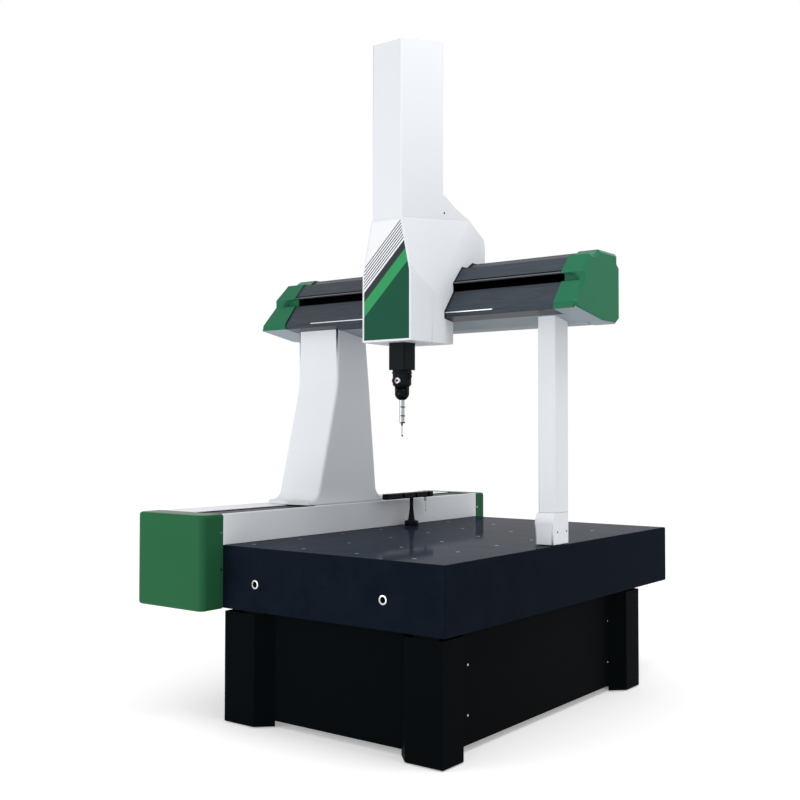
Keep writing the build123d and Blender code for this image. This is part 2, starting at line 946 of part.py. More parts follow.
def end_cap(x0, x1, closed_at_right):
    """A moulded cap a little larger than the covered beam, open below and towards the covers."""
    outer = cap_form(x0, x1, closed_at_right, 0)
    inner = cap_form(x0, x1, closed_at_right, cap_wall)
    front = nose_y - 3 * cap_proud
    back = beam_back - 36 + cap_seam
    below = [
        (front, underside(front) - cap_seam),
        (front, beam_bottom - 3 * cap_proud),
        (back, beam_bottom - 3 * cap_proud),
        (back, beam_bottom + under_plate + cap_seam),
        (beam_bottom_front, beam_bottom + under_plate + cap_seam),
        (nose_y - cap_seam, underside(nose_y) + under_plate + cap_seam),
        (nose_y - cap_seam, underside(nose_y) - cap_seam),
    ]
    pocket = outer & scoop_form(x0, x1, closed_at_right, cap_wall)
    body = outer - inner + pocket - scoop_form(x0, x1, closed_at_right, 0)
    return body - along_x(below, x0 - 1, x1 + 1)


def x_belt_line():
    """Belt loop of the carriage as (left x, right x, y0, y1, z)."""
    y0 = groove_front - x_belt_inset
    return (cap_inner_left - x_drive_reach, cap_inner_right + x_idler_reach, y0, y0 + belt_width,
            nose_top + x_belt_rise)


def x_drive_belt():
    """Toothed belt that pulls the carriage."""
    xl, xr, y0, y1, z = x_belt_line()
    r = x_pulley_radius + air_gap
    t = belt_thickness
    outer = box(xl, xr, y0, y1, z - r - t, z + r + t)
    outer = outer + rod_y(xl, y0, y1, z, r + t) + rod_y(xr, y0, y1, z, r + t)
    inner = box(xl, xr, y0, y1, z - r, z + r) + rod_y(xl, y0, y1, z, r) + rod_y(xr, y0, y1, z, r)
    return outer - inner


def x_drive_pulley():
    """Pulley of the carriage drive."""
    xl, xr, y0, y1, z = x_belt_line()
    return rod_y(xl, y0, y1, z, x_pulley_radius) - rod_y(xl, y0, y1, z, shaft_radius + shaft_gap)


def x_drive_motor():
    """Motor of the carriage drive in the left cap."""
    xl, xr, y0, y1, z = x_belt_line()
    face = y1 + x_motor_inset
    body = rod_y(xl, face, face + x_motor_length, z, x_motor_radius)
    shaft = rod_y(xl, y0, face, z, shaft_radius)
    plate_x = cap_inner_left - core_reach
    arm_y = face + x_motor_length / 2 - 2
    arm = box(xl + 20, plate_x, arm_y - x_arm_width / 2, arm_y + x_arm_width / 2, z - 24, z + 24)
    return fuse([body, shaft, arm])


def x_idler():
    """Idler wheel and its bracket in the right cap."""
    xl, xr, y0, y1, z = x_belt_line()
    wheel = rod_y(xr, y0, y1, z, x_pulley_radius)
    pin = rod_y(xr, y1, y1 + 60, z, shaft_radius)
    arm = box(cap_inner_right + core_reach, xr + 12, y1 + 40, y1 + 60, z - 14, z + 14)
    return fuse([wheel, pin, arm])


def x_scale():
    """Graduated strip on the front face of the beam."""
    z = groove_bottom - 30
    return box(cap_inner_left + 10, cap_inner_right - 10, beam_core_front - scale_thickness, beam_core_front,
               z - scale_width / 2, z + scale_width / 2)


# Carriage
def seam_z(y):
    """Height of the seam between the housing and the tower at a depth y."""
    return seam_front_z + seam_slope * (y - housing_front)


def housing_rear_line(inset):
    """Rear edge of the housing's side wall as (y, z) points, from the bottom up."""
    low_back = housing_low_back - inset
    shelf_front = beam_top_front - inset
    shelf = groove_top + beam_clearance + inset
    rear_bottom = beam_top + beam_clearance + inset
    return [
        (low_back, housing_bottom + inset),
        (low_back, shelf),
        (shelf_front, shelf),
        (shelf_front, rear_bottom),
        (housing_back - inset, rear_bottom),
        (housing_back - inset, housing_back_top),
        (housing_rear_edge_y - inset, housing_rear_edge_z),
    ]


def polyhedron(faces):
    """A solid from its flat faces, each a list of (x, y, z) corners."""
    return Solid(Shell([Face(Wire.make_polygon(corners)) for corners in faces]))


def housing_form(inset):
    """The faceted form of the housing, or with an inset the form of its inside."""
    half = housing_half - inset
    narrow = housing_front_half - inset
    neck = tower_half - inset
    front = housing_front + inset
    low = housing_bottom + inset
    rear = housing_rear_line(inset)
    foot = (housing_waist_y, low)
    waist = (housing_waist_y, housing_waist_z)
    front_foot = (front, low)
    crease = (front, housing_front_crease)
    seam_front = (front, seam_z(housing_front) - inset)
    seam_back = (seam_back_y - inset, seam_z(seam_back_y) - inset)

    def at(reach, point):
        return (carriage_x + reach, point[0], point[1])

    def across(corners):
        right = [at(reach, point) for reach, point in corners]
        left = [at(-reach, point) for reach, point in reversed(corners)]
        return right + left

    faces = [
        across([(narrow, front_foot), (narrow, crease), (neck, seam_front)]),
        across([(neck, seam_front), (neck, seam_back)]),
        across([(neck, seam_back), (half, rear[-1])]),
        across([(narrow, front_foot), (half, foot), (half, rear[0])]),
    ]
    faces += [across([(half, rear[i]), (half, rear[i + 1])]) for i in range(len(rear) - 1)]
    for side in (-1, 1):
        wide, slim, top = side * half, side * narrow, side * neck
        faces.append([at(slim, front_foot), at(wide, foot), at(wide, waist), at(slim, crease)])
        faces.append([at(top, seam_front), at(slim, crease), at(wide, waist)])
        faces.append([at(top, seam_front), at(wide, waist), at(top, seam_back)])
        faces.append([at(top, seam_back), at(wide, waist), at(wide, rear[-1])])
        faces.append([at(wide, foot)] + [at(wide, point) for point in rear] + [at(wide, waist)])
    return polyhedron(faces)


def beam_passage():
    """The space that the covered beam takes through the housing."""
    profile = make_face(Polyline(*beam_outline(), close=True))
    wide = offset(profile, amount=beam_clearance, kind=Kind.INTERSECTION)
    x0 = carriage_x - housing_half - 1
    return extrude(Plane.YZ.offset(x0) * wide, amount=2 * housing_half + 2)


def carriage_housing():
    """White shell around the carriage, open where the beam and the ram pass and towards the tower."""
    half = ram_cover_side / 2 + ram_port_clearance
    port = box(carriage_x - half, carriage_x + half, ram_y - half, ram_y + half,
               housing_bottom - 1, housing_bottom + shell + 1)
    neck_half = tower_half - shell
    neck = box(carriage_x - neck_half, carriage_x + neck_half, housing_front + shell, seam_back_y - shell,
               seam_front_z - 4 * shell, seam_z(seam_back_y) + shell)
    wide = cheek_inner + cheek_thickness + 5
    window = box(carriage_x - wide, carriage_x + wide, housing_low_back - 2 * shell, hanger_back,
                 groove_bottom, groove_top + 2)
    solid = housing_form(0) - housing_form(shell) - beam_passage() - port - neck - window
    return max(solid.solids(), key=lambda piece: piece.volume)


def passage_seals():
    """Black brush frames on both sides of the housing around the beam."""
    profile = make_face(Polyline(*beam_outline(), close=True))
    wide = offset(profile, amount=beam_clearance, kind=Kind.INTERSECTION)
    tight = offset(profile, amount=seal_gap, kind=Kind.INTERSECTION)
    edge = [
        (housing_front, housing_bottom),
        (housing_low_back, housing_bottom),
        (housing_low_back, nose_bottom),
        (housing_back, nose_bottom),
        (housing_back, beam_top + 2 * beam_clearance),
        (housing_front, beam_top + 2 * beam_clearance),
    ]
    plan = (wide - tight) & make_face(Polyline(*edge, close=True))
    seals = []
    for x in (carriage_x - housing_half, carriage_x + housing_half - seal_depth):
        seals.append(extrude(Plane.YZ.offset(x) * plan, amount=seal_depth))
    return seals


def tower_form(inset, foot):
    """The tower and the hump behind it, or with an inset their inside, from foot above the seam."""
    front = housing_front + inset
    back = tower_back - inset
    rise = tower_top_rise / (tower_back - housing_front)

    def roof(y):
        return tower_top_front - inset + rise * (y - housing_front)

    bevel = tower_back_bevel
    shaft = [
        (front, seam_z(front) + foot),
        (front, roof(front)),
        (back - bevel, roof(back - bevel)),
        (back, roof(back) - 0.6 * bevel),
        (back, seam_z(back) + foot),
    ]
    step = back - 2 * tower_round
    hump = [
        (step, seam_z(step) + foot),
        (step, hump_top - inset),
        (back, hump_top - inset),
        (hump_bend_y - inset / 2, hump_bend_z - inset),
        (seam_back_y - inset, seam_z(seam_back_y) - inset),
        (seam_back_y - inset, seam_z(seam_back_y - inset) + foot),
    ]
    half = tower_half - inset
    body = along_x(shaft, carriage_x - half, carriage_x + half)
    body = fillet(body.edges().filter_by(Axis.Z), tower_round - inset)
    return body + along_x(hump if inset else hump[:4] + hump[5:], carriage_x - half, carriage_x + half)


def tower_cover():
    """The tall white cover of the ram and its balance weight, with the hump behind its foot."""
    return tower_form(0, seam_gap) - tower_form(shell, -2 * shell)


def cheek_profile():
    """Side view of the two upright plates that hold the ram's bearings."""
    return [
        (cheek_front, ring_low_z - 30),
        (cheek_front, cheek_top),
        (cheek_back + 25, cheek_top),
        (cheek_back + 25, ring_high_z),
        (cheek_back, ring_high_z - 80),
        (cheek_back, ring_low_z - 30),
    ]


def carriage_frame():
    """Two plates, a cross block, side brackets and the arm that reaches through the groove to the beam."""
    inner = cheek_inner
    wide = inner + cheek_thickness
    pieces = []
    for side in (-1, 1):
        x0, x1 = sorted((carriage_x + side * inner, carriage_x + side * wide))
        pieces.append(along_x(cheek_profile(), x0, x1))
        x0, x1 = sorted((carriage_x + side * wide, carriage_x + side * (housing_half - shell)))
        pieces.append(box(x0, x1, cheek_back - 45, cheek_back - 20, ring_low_z - 22, ring_low_z))
        x0, x1 = sorted((carriage_x + side * wide, carriage_x + side * (tower_half - shell)))
        pieces.append(box(x0, x1, ram_y - 20, ram_y + 20, bracket_z, bracket_z + bracket_height))
    pieces.append(box(carriage_x - wide, carriage_x + wide, cheek_back - 35, cheek_back,
                      block_low_z, block_low_z + block_height))
    arm_low = groove_bottom + 7
    arm_high = groove_top - 7
    pieces.append(box(carriage_x - wide, carriage_x + wide, cheek_back, hanger_back, arm_low, arm_high))
    pieces.append(box(carriage_x - hanger_half, carriage_x + hanger_half, hanger_front, hanger_back,
                      nose_top - 5, arm_high))
    xl, xr, y0, y1, z = x_belt_line()
    run = z + x_pulley_radius + air_gap
    pieces.append(box(carriage_x - 20, carriage_x + 20, y0, hanger_front, run + belt_thickness,
                      run + belt_thickness + 6))
    return fuse(pieces)


def x_air_bearings():
    """Pads that float on the front face of the beam."""
    y1 = beam_core_front - air_gap
    places = (carriage_x - x_bearing_pitch, carriage_x, carriage_x + x_bearing_pitch)
    return [rod_y(x, hanger_back, y1, nose_top + 22, 24) for x in places]


def ram_bearing_rings():
    """Square rings with the air pads that guide the ram."""
    inner = ram_side / 2 + ring_clearance
    outer = cheek_inner
    rings = []
    for z in (ring_low_z, ring_high_z):
        ring = box(carriage_x - outer, carriage_x + outer, ram_y - ring_reach, ram_y + ring_reach,
                   z, z + ring_height)
        rings.append(ring - box(carriage_x - inner, carriage_x + inner, ram_y - inner, ram_y + inner,
                                z, z + ring_height))
    return rings


def z_drive_motor():
    """Short motor beside the upper pulley."""
    x0 = carriage_x + 12
    body = rod_x(x0 + 4, carriage_x + cheek_inner, z_belt_y, z_pulley_top, 27)
    return body + rod_x(carriage_x - 10, x0 + 4, z_belt_y, z_pulley_top, shaft_radius)


def z_drive_pulley():
    """Upper pulley of the ram's belt."""
    return (rod_x(carriage_x - 10, carriage_x + 10, z_belt_y, z_pulley_top, z_pulley_radius)
            - rod_x(carriage_x - 10, carriage_x + 10, z_belt_y, z_pulley_top, shaft_radius + shaft_gap))


def z_idler():
    """Lower pulley of the ram's belt on its pin."""
    wheel = rod_x(carriage_x - 10, carriage_x + 10, z_belt_y, z_pulley_low, z_pulley_radius)
    reach = cheek_inner
    return wheel + rod_x(carriage_x - reach, carriage_x + reach, z_belt_y, z_pulley_low, shaft_radius)


def z_drive_belt():
    """Belt loop that carries the ram on one run and its balance weight on the other."""
    r = z_pulley_radius + air_gap
    t = belt_thickness
    x0 = carriage_x - 8
    x1 = carriage_x + 8
    outer = box(x0, x1, z_belt_y - r - t, z_belt_y + r + t, z_pulley_low, z_pulley_top)
    inner = box(x0, x1, z_belt_y - r, z_belt_y + r, z_pulley_low, z_pulley_top)
    for z in (z_pulley_low, z_pulley_top):
        outer = outer + rod_x(x0, x1, z_belt_y, z, r + t)
        inner = inner + rod_x(x0, x1, z_belt_y, z, r)
    return outer - inner


def balance_weight():
    """Steel weight that hangs behind the ram."""
    y0 = z_belt_y + z_pulley_radius + air_gap + belt_thickness
    return box(carriage_x - 52, carriage_x + 52, y0, y0 + 62, weight_bottom, weight_bottom + weight_height)


# Ram
def ram():
    """Square tube that carries the probe head, with the clamp for its belt."""
    half = ram_side / 2
    body = box(carriage_x - half, carriage_x + half, ram_y - half, ram_y + half,
               ram_end_z + ram_cover_height, ram_top)
    body = chamfer(body.edges().filter_by(Axis.Z), 3)
    bore = half - ram_wall
    body = body - box(carriage_x - bore, carriage_x + bore, ram_y - bore, ram_y + bore,
                      ram_end_z + ram_cover_height + 40, ram_top)
    foot = half - 6
    foot = box(carriage_x - foot, carriage_x + foot, ram_y - foot, ram_y + foot,
               ram_end_z + 12, ram_end_z + ram_cover_height)
    belt_front = z_belt_y - z_pulley_radius - air_gap - belt_thickness
    clamp = box(carriage_x - 18, carriage_x + 18, ram_y + half - 1, belt_front, ram_top - 35, ram_top - 5)
    return fuse([body, foot, clamp])


def ram_end_cover():
    """Black cover around the lower end of the ram."""
    half = ram_cover_side / 2
    body = box(carriage_x - half, carriage_x + half, ram_y - half, ram_y + half,
               ram_end_z, ram_end_z + ram_cover_height)
    body = fillet(body.edges().filter_by(Axis.Z), 8)
    foot = ram_side / 2 - 6
    return body - box(carriage_x - foot, carriage_x + foot, ram_y - foot, ram_y + foot,
                      ram_end_z + 12, ram_end_z + ram_cover_height)


def probe_head_mount():
    """Tapered flange between the ram and the probe head, with the bore of its bearing."""
    mount = Pos(carriage_x, ram_y, ram_end_z - neck_height / 2)
    mount = mount * Cone(neck_radius, neck_radius * 0.9, neck_height)
    bore = spindle_radius + shaft_gap
    return mount - rod_z(carriage_x, ram_y, ram_end_z - neck_height, ram_end_z - 2, bore)


# Probe head and probe
def head_top_z():
    """Height of the joint between the flange and the turning barrel."""
    return ram_end_z - neck_height - air_gap


def wrist_sphere(radius, seam_turn):
    """A sphere at the wrist with its poles on the tilt axis and its seam turned out of the way."""
    return Pos(carriage_x, ram_y, ball_z) * Rot(0, seam_turn, 0) * Sphere(radius)


def head_body():
    """Turning barrel with its index window, knob and the fork that holds the ball."""
    top = head_top_z()
    low = top - head_height
    body = rod_z(carriage_x, ram_y, low, top, head_radius)
    body = chamfer(body.edges().group_by(Axis.Z)[0], 10)
    window = rod_y(carriage_x - 10, ram_y - head_radius - 3, ram_y - head_radius + 12, top - 32, 13)
    knob = rod_x(carriage_x + head_radius - 4, carriage_x + head_radius + 7, ram_y, top - 12, 8)
    spindle = rod_z(carriage_x, ram_y, top - 1, top + 10, spindle_radius)
    socket = wrist_sphere(ball_radius + socket_gap, 90)
    barrel = fuse([body, window, knob, spindle]) - socket
    reach = ball_radius - flat_depth
    pieces = [barrel]
    for side in (-1, 1):
        x0, x1 = sorted((carriage_x + side * (reach + 5), carriage_x + side * (reach + 0.5)))
        ear = box(x0, x1, ram_y - 9, ram_y + 9, ball_z, low + 6) + rod_x(x0, x1, ram_y, ball_z, 9)
        x0, x1 = sorted((carriage_x + side * (reach + 1), carriage_x + side * (reach - 8)))
        pieces.append(ear + rod_x(x0, x1, ram_y, ball_z, pin_radius))
    return fuse(pieces)


def head_ball():
    """The tilting ball with its flats and the socket of the probe."""
    ball = wrist_sphere(ball_radius, 90)
    for side in (-1, 1):
        reach = ball_radius - flat_depth
        x0, x1 = sorted((carriage_x + side * reach, carriage_x + side * (ball_radius + 2)))
        ball = ball - box(x0, x1, ram_y - 40, ram_y + 40, ball_z - 40, ball_z + 40)
        x0, x1 = sorted((carriage_x + side * (reach - 8.5), carriage_x + side * reach))
        ball = ball - rod_x(x0, x1, ram_y, ball_z, pin_radius + shaft_gap)
    return ball


def probe_top():
    """Height of the probe's upper end."""
    return ball_z - ball_radius + 4


def probe_body():
    """Slim steel probe with two turned grooves."""
    top = probe_top()
    low = top - probe_length
    body = rod_z(carriage_x, ram_y, low, top, probe_radius)
    body = chamfer(body.edges().group_by(Axis.Z)[0], 1.5)
    for share in (0.27, 0.66):
        z = top - share * probe_length
        ring = rod_z(carriage_x, ram_y, z - 1.5, z + 1.5, probe_radius + 1)
        body = body - (ring - rod_z(carriage_x, ram_y, z - 1.5, z + 1.5, probe_radius - 1.2))
    cap = wrist_sphere(ball_radius, -90)
    bore = rod_z(carriage_x, ram_y, low, low + stylus_travel + 8, stylus_hub_radius + 0.4)
    return body - cap - bore


def stylus():
    """Stylus with a hub that springs into the probe, a thin stem and a ruby ball."""
    low = probe_top() - probe_length
    hub = rod_z(carriage_x, ram_y, low - 5, low + 7, stylus_hub_radius)
    tip_z = low - stylus_length + stylus_tip_radius
    stem = rod_z(carriage_x, ram_y, tip_z, low - 5, stylus_radius)
    cone = Pos(carriage_x, ram_y, low - 9) * Cone(stylus_radius, stylus_hub_radius, 8)
    return fuse([hub, cone, stem, Pos(carriage_x, ram_y, tip_z) * Sphere(stylus_tip_radius)])


# Screws
def screw_x(x, y, z, radius, height):
    """A flat round head on a face that looks along x."""
    ends = sorted((x, x + height))
    return rod_x(ends[0], ends[1], y, z, radius)


def cover_screws():
    """Screws of the drive covers and of the stand's side panels."""
    screws = []
    for y in (-drive_cover_gap - cover_screw_inset, table_length + drive_cover_gap + cover_screw_inset):
        for rise in cover_screw_rises:
            z = drive_cover_bottom + rise
            screws.append(screw_x(drive_cover_right, y, z, screw_radius, screw_height))
    front = stand_front + corner_depth + panel_recess + panel_screw_front
    back = stand_back - corner_depth - panel_recess - panel_screw_back
    for x, height in ((stand_right - panel_recess, screw_height), (stand_left + panel_recess, -screw_height)):
        for y in (front, back):
            for z in (stand_top - panel_screw_low, stand_top - panel_screw_high):
                screws.append(screw_x(x, y, z, screw_radius, height))
    return screws


def bridge_screws():
    """Screws of the leg's foot cover and of the beam's end caps."""
    screws = []
    for y in (leg_front + 14, leg_back - 23):
        z = table_height + shoe_gap + shoe_screw_rise
        screws.append(screw_x(-leg_right, y, z, screw_radius - 1, screw_height))
        screws.append(screw_x(leg_left, y, z, screw_radius - 1, -screw_height))
    top = beam_top + cap_proud
    inset = cap_screw_inset
    for x in (beam_left_x + inset, cap_inner_left - inset, beam_right_x - inset):
        for y in (beam_top_front + inset, beam_top_back - inset):
            screws.append(rod_z(x, y, top, top + screw_height, screw_radius))
    for x, y in ((cap_inner_right + 8, beam_back - 91), (cap_inner_right + 34, beam_bottom_front + 8)):
        screws.append(rod_z(x, y, beam_bottom - screw_height, beam_bottom, screw_radius))
    return screws


def tower_screws():
    """One screw on each side that holds the tower's foot."""
    screws = []
    for side in (-1, 1):
        x = carriage_x + side * tower_half
        screws.append(screw_x(x, tower_back, seam_z(tower_back) + tower_screw_rise, screw_radius,
                              side * screw_height))
    return screws


# Module rack
def port_places():
    """Middle y of each open port of the rack."""
    back = rack_front + rack_length - port_first
    return [back - i * port_pitch for i in range(rack_ports)]


def rack_body():
    """Flat rack with open ports on the table side."""
    half = rack_width / 2
    body = box(rack_x - half, rack_x + half, rack_front, rack_front + rack_length,
               rack_bottom, rack_bottom + rack_height)
    body = chamfer(body.edges().filter_by(Axis.Y), 3)
    for y in port_places():
        slot = box(rack_x, rack_x + half + 1, y - port_radius, y + port_radius,
                   rack_bottom - 1, rack_bottom + rack_height + 1)
        body = body - slot - rod_z(rack_x, y, rack_bottom - 1, rack_bottom + rack_height + 1, port_radius)
    return body


def rack_post():
    """Round post with a flared foot screwed to the table."""
    post = rod_z(rack_x, rack_post_y, table_height, rack_bottom, rack_post_radius)
    foot = rod_z(rack_x, rack_post_y, table_height, table_height + rack_base_height, rack_base_radius)
    cone_z = table_height + rack_base_height + 9
    cone = Pos(rack_x, rack_post_y, cone_z) * Cone(rack_base_radius * 0.62, rack_post_radius, 18)
    return fuse([post, foot, cone])


def spare_module():
    """A spare stylus module that hangs in the rack by its collar."""
    y = port_places()[0]
    top = rack_bottom + rack_height
    collar = rod_z(rack_x, y, top + 0.2, top + 5, module_radius + 4)
    body = rod_z(rack_x, y, rack_bottom - 22, top + 0.2, module_radius)
    stem = rod_z(rack_x, y, rack_bottom - 72, rack_bottom - 22, 1.5)
    tip = Pos(rack_x, y, rack_bottom - 72) * Sphere(3)
    return fuse([collar, body, stem, tip])


def main():
    """Write every node."""
    os.makedirs("parts", exist_ok=True)
    write("stand_frame", stand_frame())
    write("levelling_feet", *levelling_feet())
    write("support_pads", *support_pads())
    write("stand_corner_covers", *[corner_cover(*corner) for corner in stand_corners()])
    write("stand_end_panels", *stand_end_panels())
    write("stand_side_panels", *stand_side_panels())
    write("granite_table", granite_table())
    write("table_inserts", *table_inserts())
    write("lifting_bushes", *lifting_bushes())
    write("y_guide_rail", y_guide_rail())
    write("y_scale", y_scale())
    write("guide_inner_cover", guide_inner_cover())
    write("guide_outer_cover", guide_outer_cover())
    write("guide_strip", guide_strip())
    write("front_drive_cover", front_drive_cover())
    write("rear_drive_cover", rear_drive_cover())
    write("y_drive_motor", y_drive_motor())
    write("y_drive_pulley", y_drive_pulley())
    write("y_drive_belt", y_drive_belt())
    write("y_idler", y_idler())
    write("cover_screws", *cover_screws())
    write("rack_post", rack_post())
    write("rack_body", rack_body())
    write("spare_module", spare_module())
    write("column", column())
    write("y_saddle", y_saddle())
    write("y_air_bearings", *y_air_bearings())
    write("right_leg", right_leg())
    write("leg_shoe", leg_shoe())
    write("leg_air_bearing", leg_air_bearing())
    write("beam", beam())
    write("beam_lower_cover", beam_lower_cover())
    write("beam_upper_cover", beam_upper_cover())
    write("left_end_cap", end_cap(beam_left_x, cap_inner_left, False))
    write("right_end_cap", end_cap(cap_inner_right, beam_right_x, True))
    write("x_scale", x_scale())
    write("x_drive_motor", x_drive_motor())
    write("x_drive_pulley", x_drive_pulley())
    write("x_drive_belt", x_drive_belt())
    write("x_idler", x_idler())
    write("bridge_screws", *bridge_screws())
    write("carriage_frame", carriage_frame())
    write("x_air_bearings", *x_air_bearings())
    write("carriage_housing", carriage_housing())
    write("passage_seals", *passage_seals())
    write("tower_cover", tower_cover())
    write("ram_bearing_rings", *ram_bearing_rings())
    write("z_drive_motor", z_drive_motor())
    write("z_drive_pulley", z_drive_pulley())
    write("z_drive_belt", z_drive_belt())
    write("z_idler", z_idler())
    write("tower_screws", *tower_screws())
    write("balance_weight", balance_weight())
    write("ram", ram())
    write("ram_end_cover", ram_end_cover())
    write("probe_head_mount", probe_head_mount())
    write("head_body", head_body())
    write("head_ball", head_ball())
    write("probe_body", probe_body())
    write("stylus", stylus())


main()
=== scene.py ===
# Coordinate measuring machine: finishes, rounded covers, trims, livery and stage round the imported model.

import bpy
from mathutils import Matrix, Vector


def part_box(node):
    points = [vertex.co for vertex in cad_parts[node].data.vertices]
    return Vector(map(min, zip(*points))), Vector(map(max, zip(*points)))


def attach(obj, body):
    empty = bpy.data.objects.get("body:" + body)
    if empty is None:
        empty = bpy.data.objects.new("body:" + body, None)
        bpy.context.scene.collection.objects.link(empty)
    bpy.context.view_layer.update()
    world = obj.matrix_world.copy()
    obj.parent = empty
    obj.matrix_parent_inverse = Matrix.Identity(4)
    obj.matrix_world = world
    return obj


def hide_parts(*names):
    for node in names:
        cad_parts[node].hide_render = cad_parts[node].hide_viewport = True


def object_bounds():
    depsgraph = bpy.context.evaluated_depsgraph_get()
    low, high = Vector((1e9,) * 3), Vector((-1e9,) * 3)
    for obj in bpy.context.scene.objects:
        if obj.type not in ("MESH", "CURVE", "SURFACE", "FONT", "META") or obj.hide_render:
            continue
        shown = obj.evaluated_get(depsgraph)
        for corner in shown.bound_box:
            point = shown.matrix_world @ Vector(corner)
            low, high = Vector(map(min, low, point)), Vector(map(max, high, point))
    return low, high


bl_info = {
    "name": "Coordinate measuring machine",
    "version": (1, 0, 0),
    "blender": (4, 5, 0),
    "location": "View3D > Sidebar > Measuring machine",
    "description": "Dresses the packed measuring machine with its finishes, trims and studio",
    "category": "Object",
}

from math import cos, radians, sin

import bmesh
import bpy
from bpy.props import FloatProperty, FloatVectorProperty, IntProperty, PointerProperty
from bpy.types import Operator, Panel, PropertyGroup
from mathutils import Vector

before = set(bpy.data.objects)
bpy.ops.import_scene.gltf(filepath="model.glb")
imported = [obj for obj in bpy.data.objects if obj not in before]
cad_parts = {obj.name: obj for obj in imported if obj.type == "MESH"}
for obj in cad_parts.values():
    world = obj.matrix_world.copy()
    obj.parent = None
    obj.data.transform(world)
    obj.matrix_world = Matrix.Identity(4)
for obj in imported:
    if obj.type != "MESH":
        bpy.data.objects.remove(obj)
cad_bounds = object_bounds()
groups = {}
materials = {}

# Numbers that are multiplied by MM are in millimetres, other lengths in metres and angles in degrees
MM = 0.001

# Cleaning and rounding of the CAD's meshes; a face or corner needs this room over a rounding's width
WELD_DISTANCE = 0.02 * MM
FLAT_ANGLE = 0.6
FACET_FLAT_ANGLE = 1.0
BLUNT_ANGLE = 12.0
EDGE_END_SHARE = 0.02
FACE_ROOM = 1.1
CORNER_ROOM = 1.3
COVER_SMOOTH = 50.0
TURNED_SMOOTH = 40.0
PLAIN_SMOOTH = 30.0
THREAD_SMOOTH = 25.0
FLAT_FACE_WEIGHT = 80

# Radius that stands for the point of a turned piece, in millimetres
POINT_RADIUS = 0.01

# Angles from which the housing's faces meet in a soft crease and in a sharp edge
CREASE_ANGLE = 5.0
SHARP_ANGLE = 50.0

# Heights at the middle of the front facet where the livery's fields change, in millimetres
FIRST_STRIPE = 2087.0
GREY_TOP = 1976.5
LIGHT_TOP = 1934.0
GREEN_TOP = 1866.0
LIVERY_THICKNESS = 0.4

# Painted highlight on the beam's nose, a bright strip along its crease, in metres, and the bevel of its edges
# in millimetres
NOSE_HIGHLIGHT_LEFT = -0.563
NOSE_HIGHLIGHT_RIGHT = 0.4957
NOSE_HIGHLIGHT_Z = 1.7707
NOSE_HIGHLIGHT_HEIGHT = 0.0045
NOSE_HIGHLIGHT_PROUD = 0.0008
NOSE_HIGHLIGHT_EDGE = 0.3

# Painted lines above the groove on the upper cover, a light one for the highlight on its lip and a black one
# for the groove's shade: height over its lip and width in millimetres, and finish
LIP_LINES = ((5.0, 4.5, "lip"), (12.5, 8.5, "groove"))
LIP_LINE_THICKNESS = 0.6
LIP_LINE_EDGE = 0.2

LIP_LINE_OUT = 1.7
# Thickness of the black sheet of painted shade behind the groove, in millimetres
SHADE_SHEET_THICKNESS = 0.5

# Upper cover, in millimetres: its slant, and the foot of its face from the front and bottom of its box
COVER_RUN, COVER_RISE = 69, 76
COVER_FOOT_BACK, COVER_FOOT_UP = 3.4, 1.5

# Ram cover's edges, in millimetres
RAM_ROUND = 1.5

# Lifting bushes: bore over radius, and lengths in millimetres
BUSH_BORE = 0.62
BUSH_LENGTH = 40.0
BUSH_BORE_DEPTH = 38.0
BUSH_THREADS = 7
BUSH_THREAD_PITCH = 3.0
BUSH_THREAD_START = 0.6
BUSH_THREAD_DEPTH = 1.4

# Screw heads: rim bevel and socket depth over height, socket's ring and its slope over radius
SCREW_BEVEL = 0.35
SOCKET_DEPTH = 0.6
SOCKET_RING = 0.45
SOCKET_SLOPE = 0.03
SCREW_SETS = [("cover_screws", "base", "steel", "steel"), ("bridge_screws", "bridge", "black", "black_metal"),
              ("tower_screws", "carriage", "black", "black_metal")]

# Probe head: places from the underside of its flange and outlines of (radius, height), in millimetres
HEAD_FLANGE = 10
WINDOW_DROP = 32
WINDOW_SHIFT = 4
WINDOW_PROUD = 1.5
RING_OUTLINE = [(13.6, -6.0), (13.6, 1.2), (12.8, 2.4), (10.6, 2.4), (9.8, 1.2), (9.8, 0.6), (0, 0.6)]
LENS_OUTLINE = [(6.0, -2.0), (6.0, 0.8), (5.2, 1.8), (3.4, 2.6), (1.4, 3.0), (0, 3.1)]
KNOB_DROP = 12
KNOB_SEAT = 6
KNOB_OUTLINE = [(9.0, -3.0), (9.0, 0.5), (8.2, 1.2), (8.2, 2.2), (9.0, 2.9), (9.0, 5.6), (8.0, 6.4),
                (5.0, 6.4), (4.6, 5.8), (0, 5.8)]

# Collars of the probe: places along it, and outline of (radius over the probe's, height) in millimetres
COLLAR_SHARES = (0.3, 0.68, 0.97)
COLLAR_OUTLINE = [(-0.5, -2.4), (0.15, -2.0), (0.5, -1.2), (0.5, 1.2), (0.15, 2.0), (-0.5, 2.4)]

# Ball tip: its radius in millimetres, its skin's radius over that, and the angle between its rings
TIP_RADIUS = 3.5
TIP_SKIN = 1.02
TIP_STEP = 15

# Lamps: name, place, the point that it looks at, its side, and the property that holds its power
LAMPS = [("key", (-2.2, -5.4, 1.4), (0, 0, 1.3), 3.0, "key_power"),
         ("low", (-1.2, -3.8, 0.8), (0, 0, 1.0), 2.0, "low_power"),
         ("fill", (2.3, -0.6, 4.7), (0, 0, 1.3), 1.4, "fill_power")]
FLOOR_SHADE = 0.93
FLOOR_LIFT = 0.3
SENSOR_WIDTH = 36.0

# Kinds of shader group sockets
COLOUR = "NodeSocketColor"
NUMBER = "NodeSocketFloat"
TRIPLE = "NodeSocketVector"

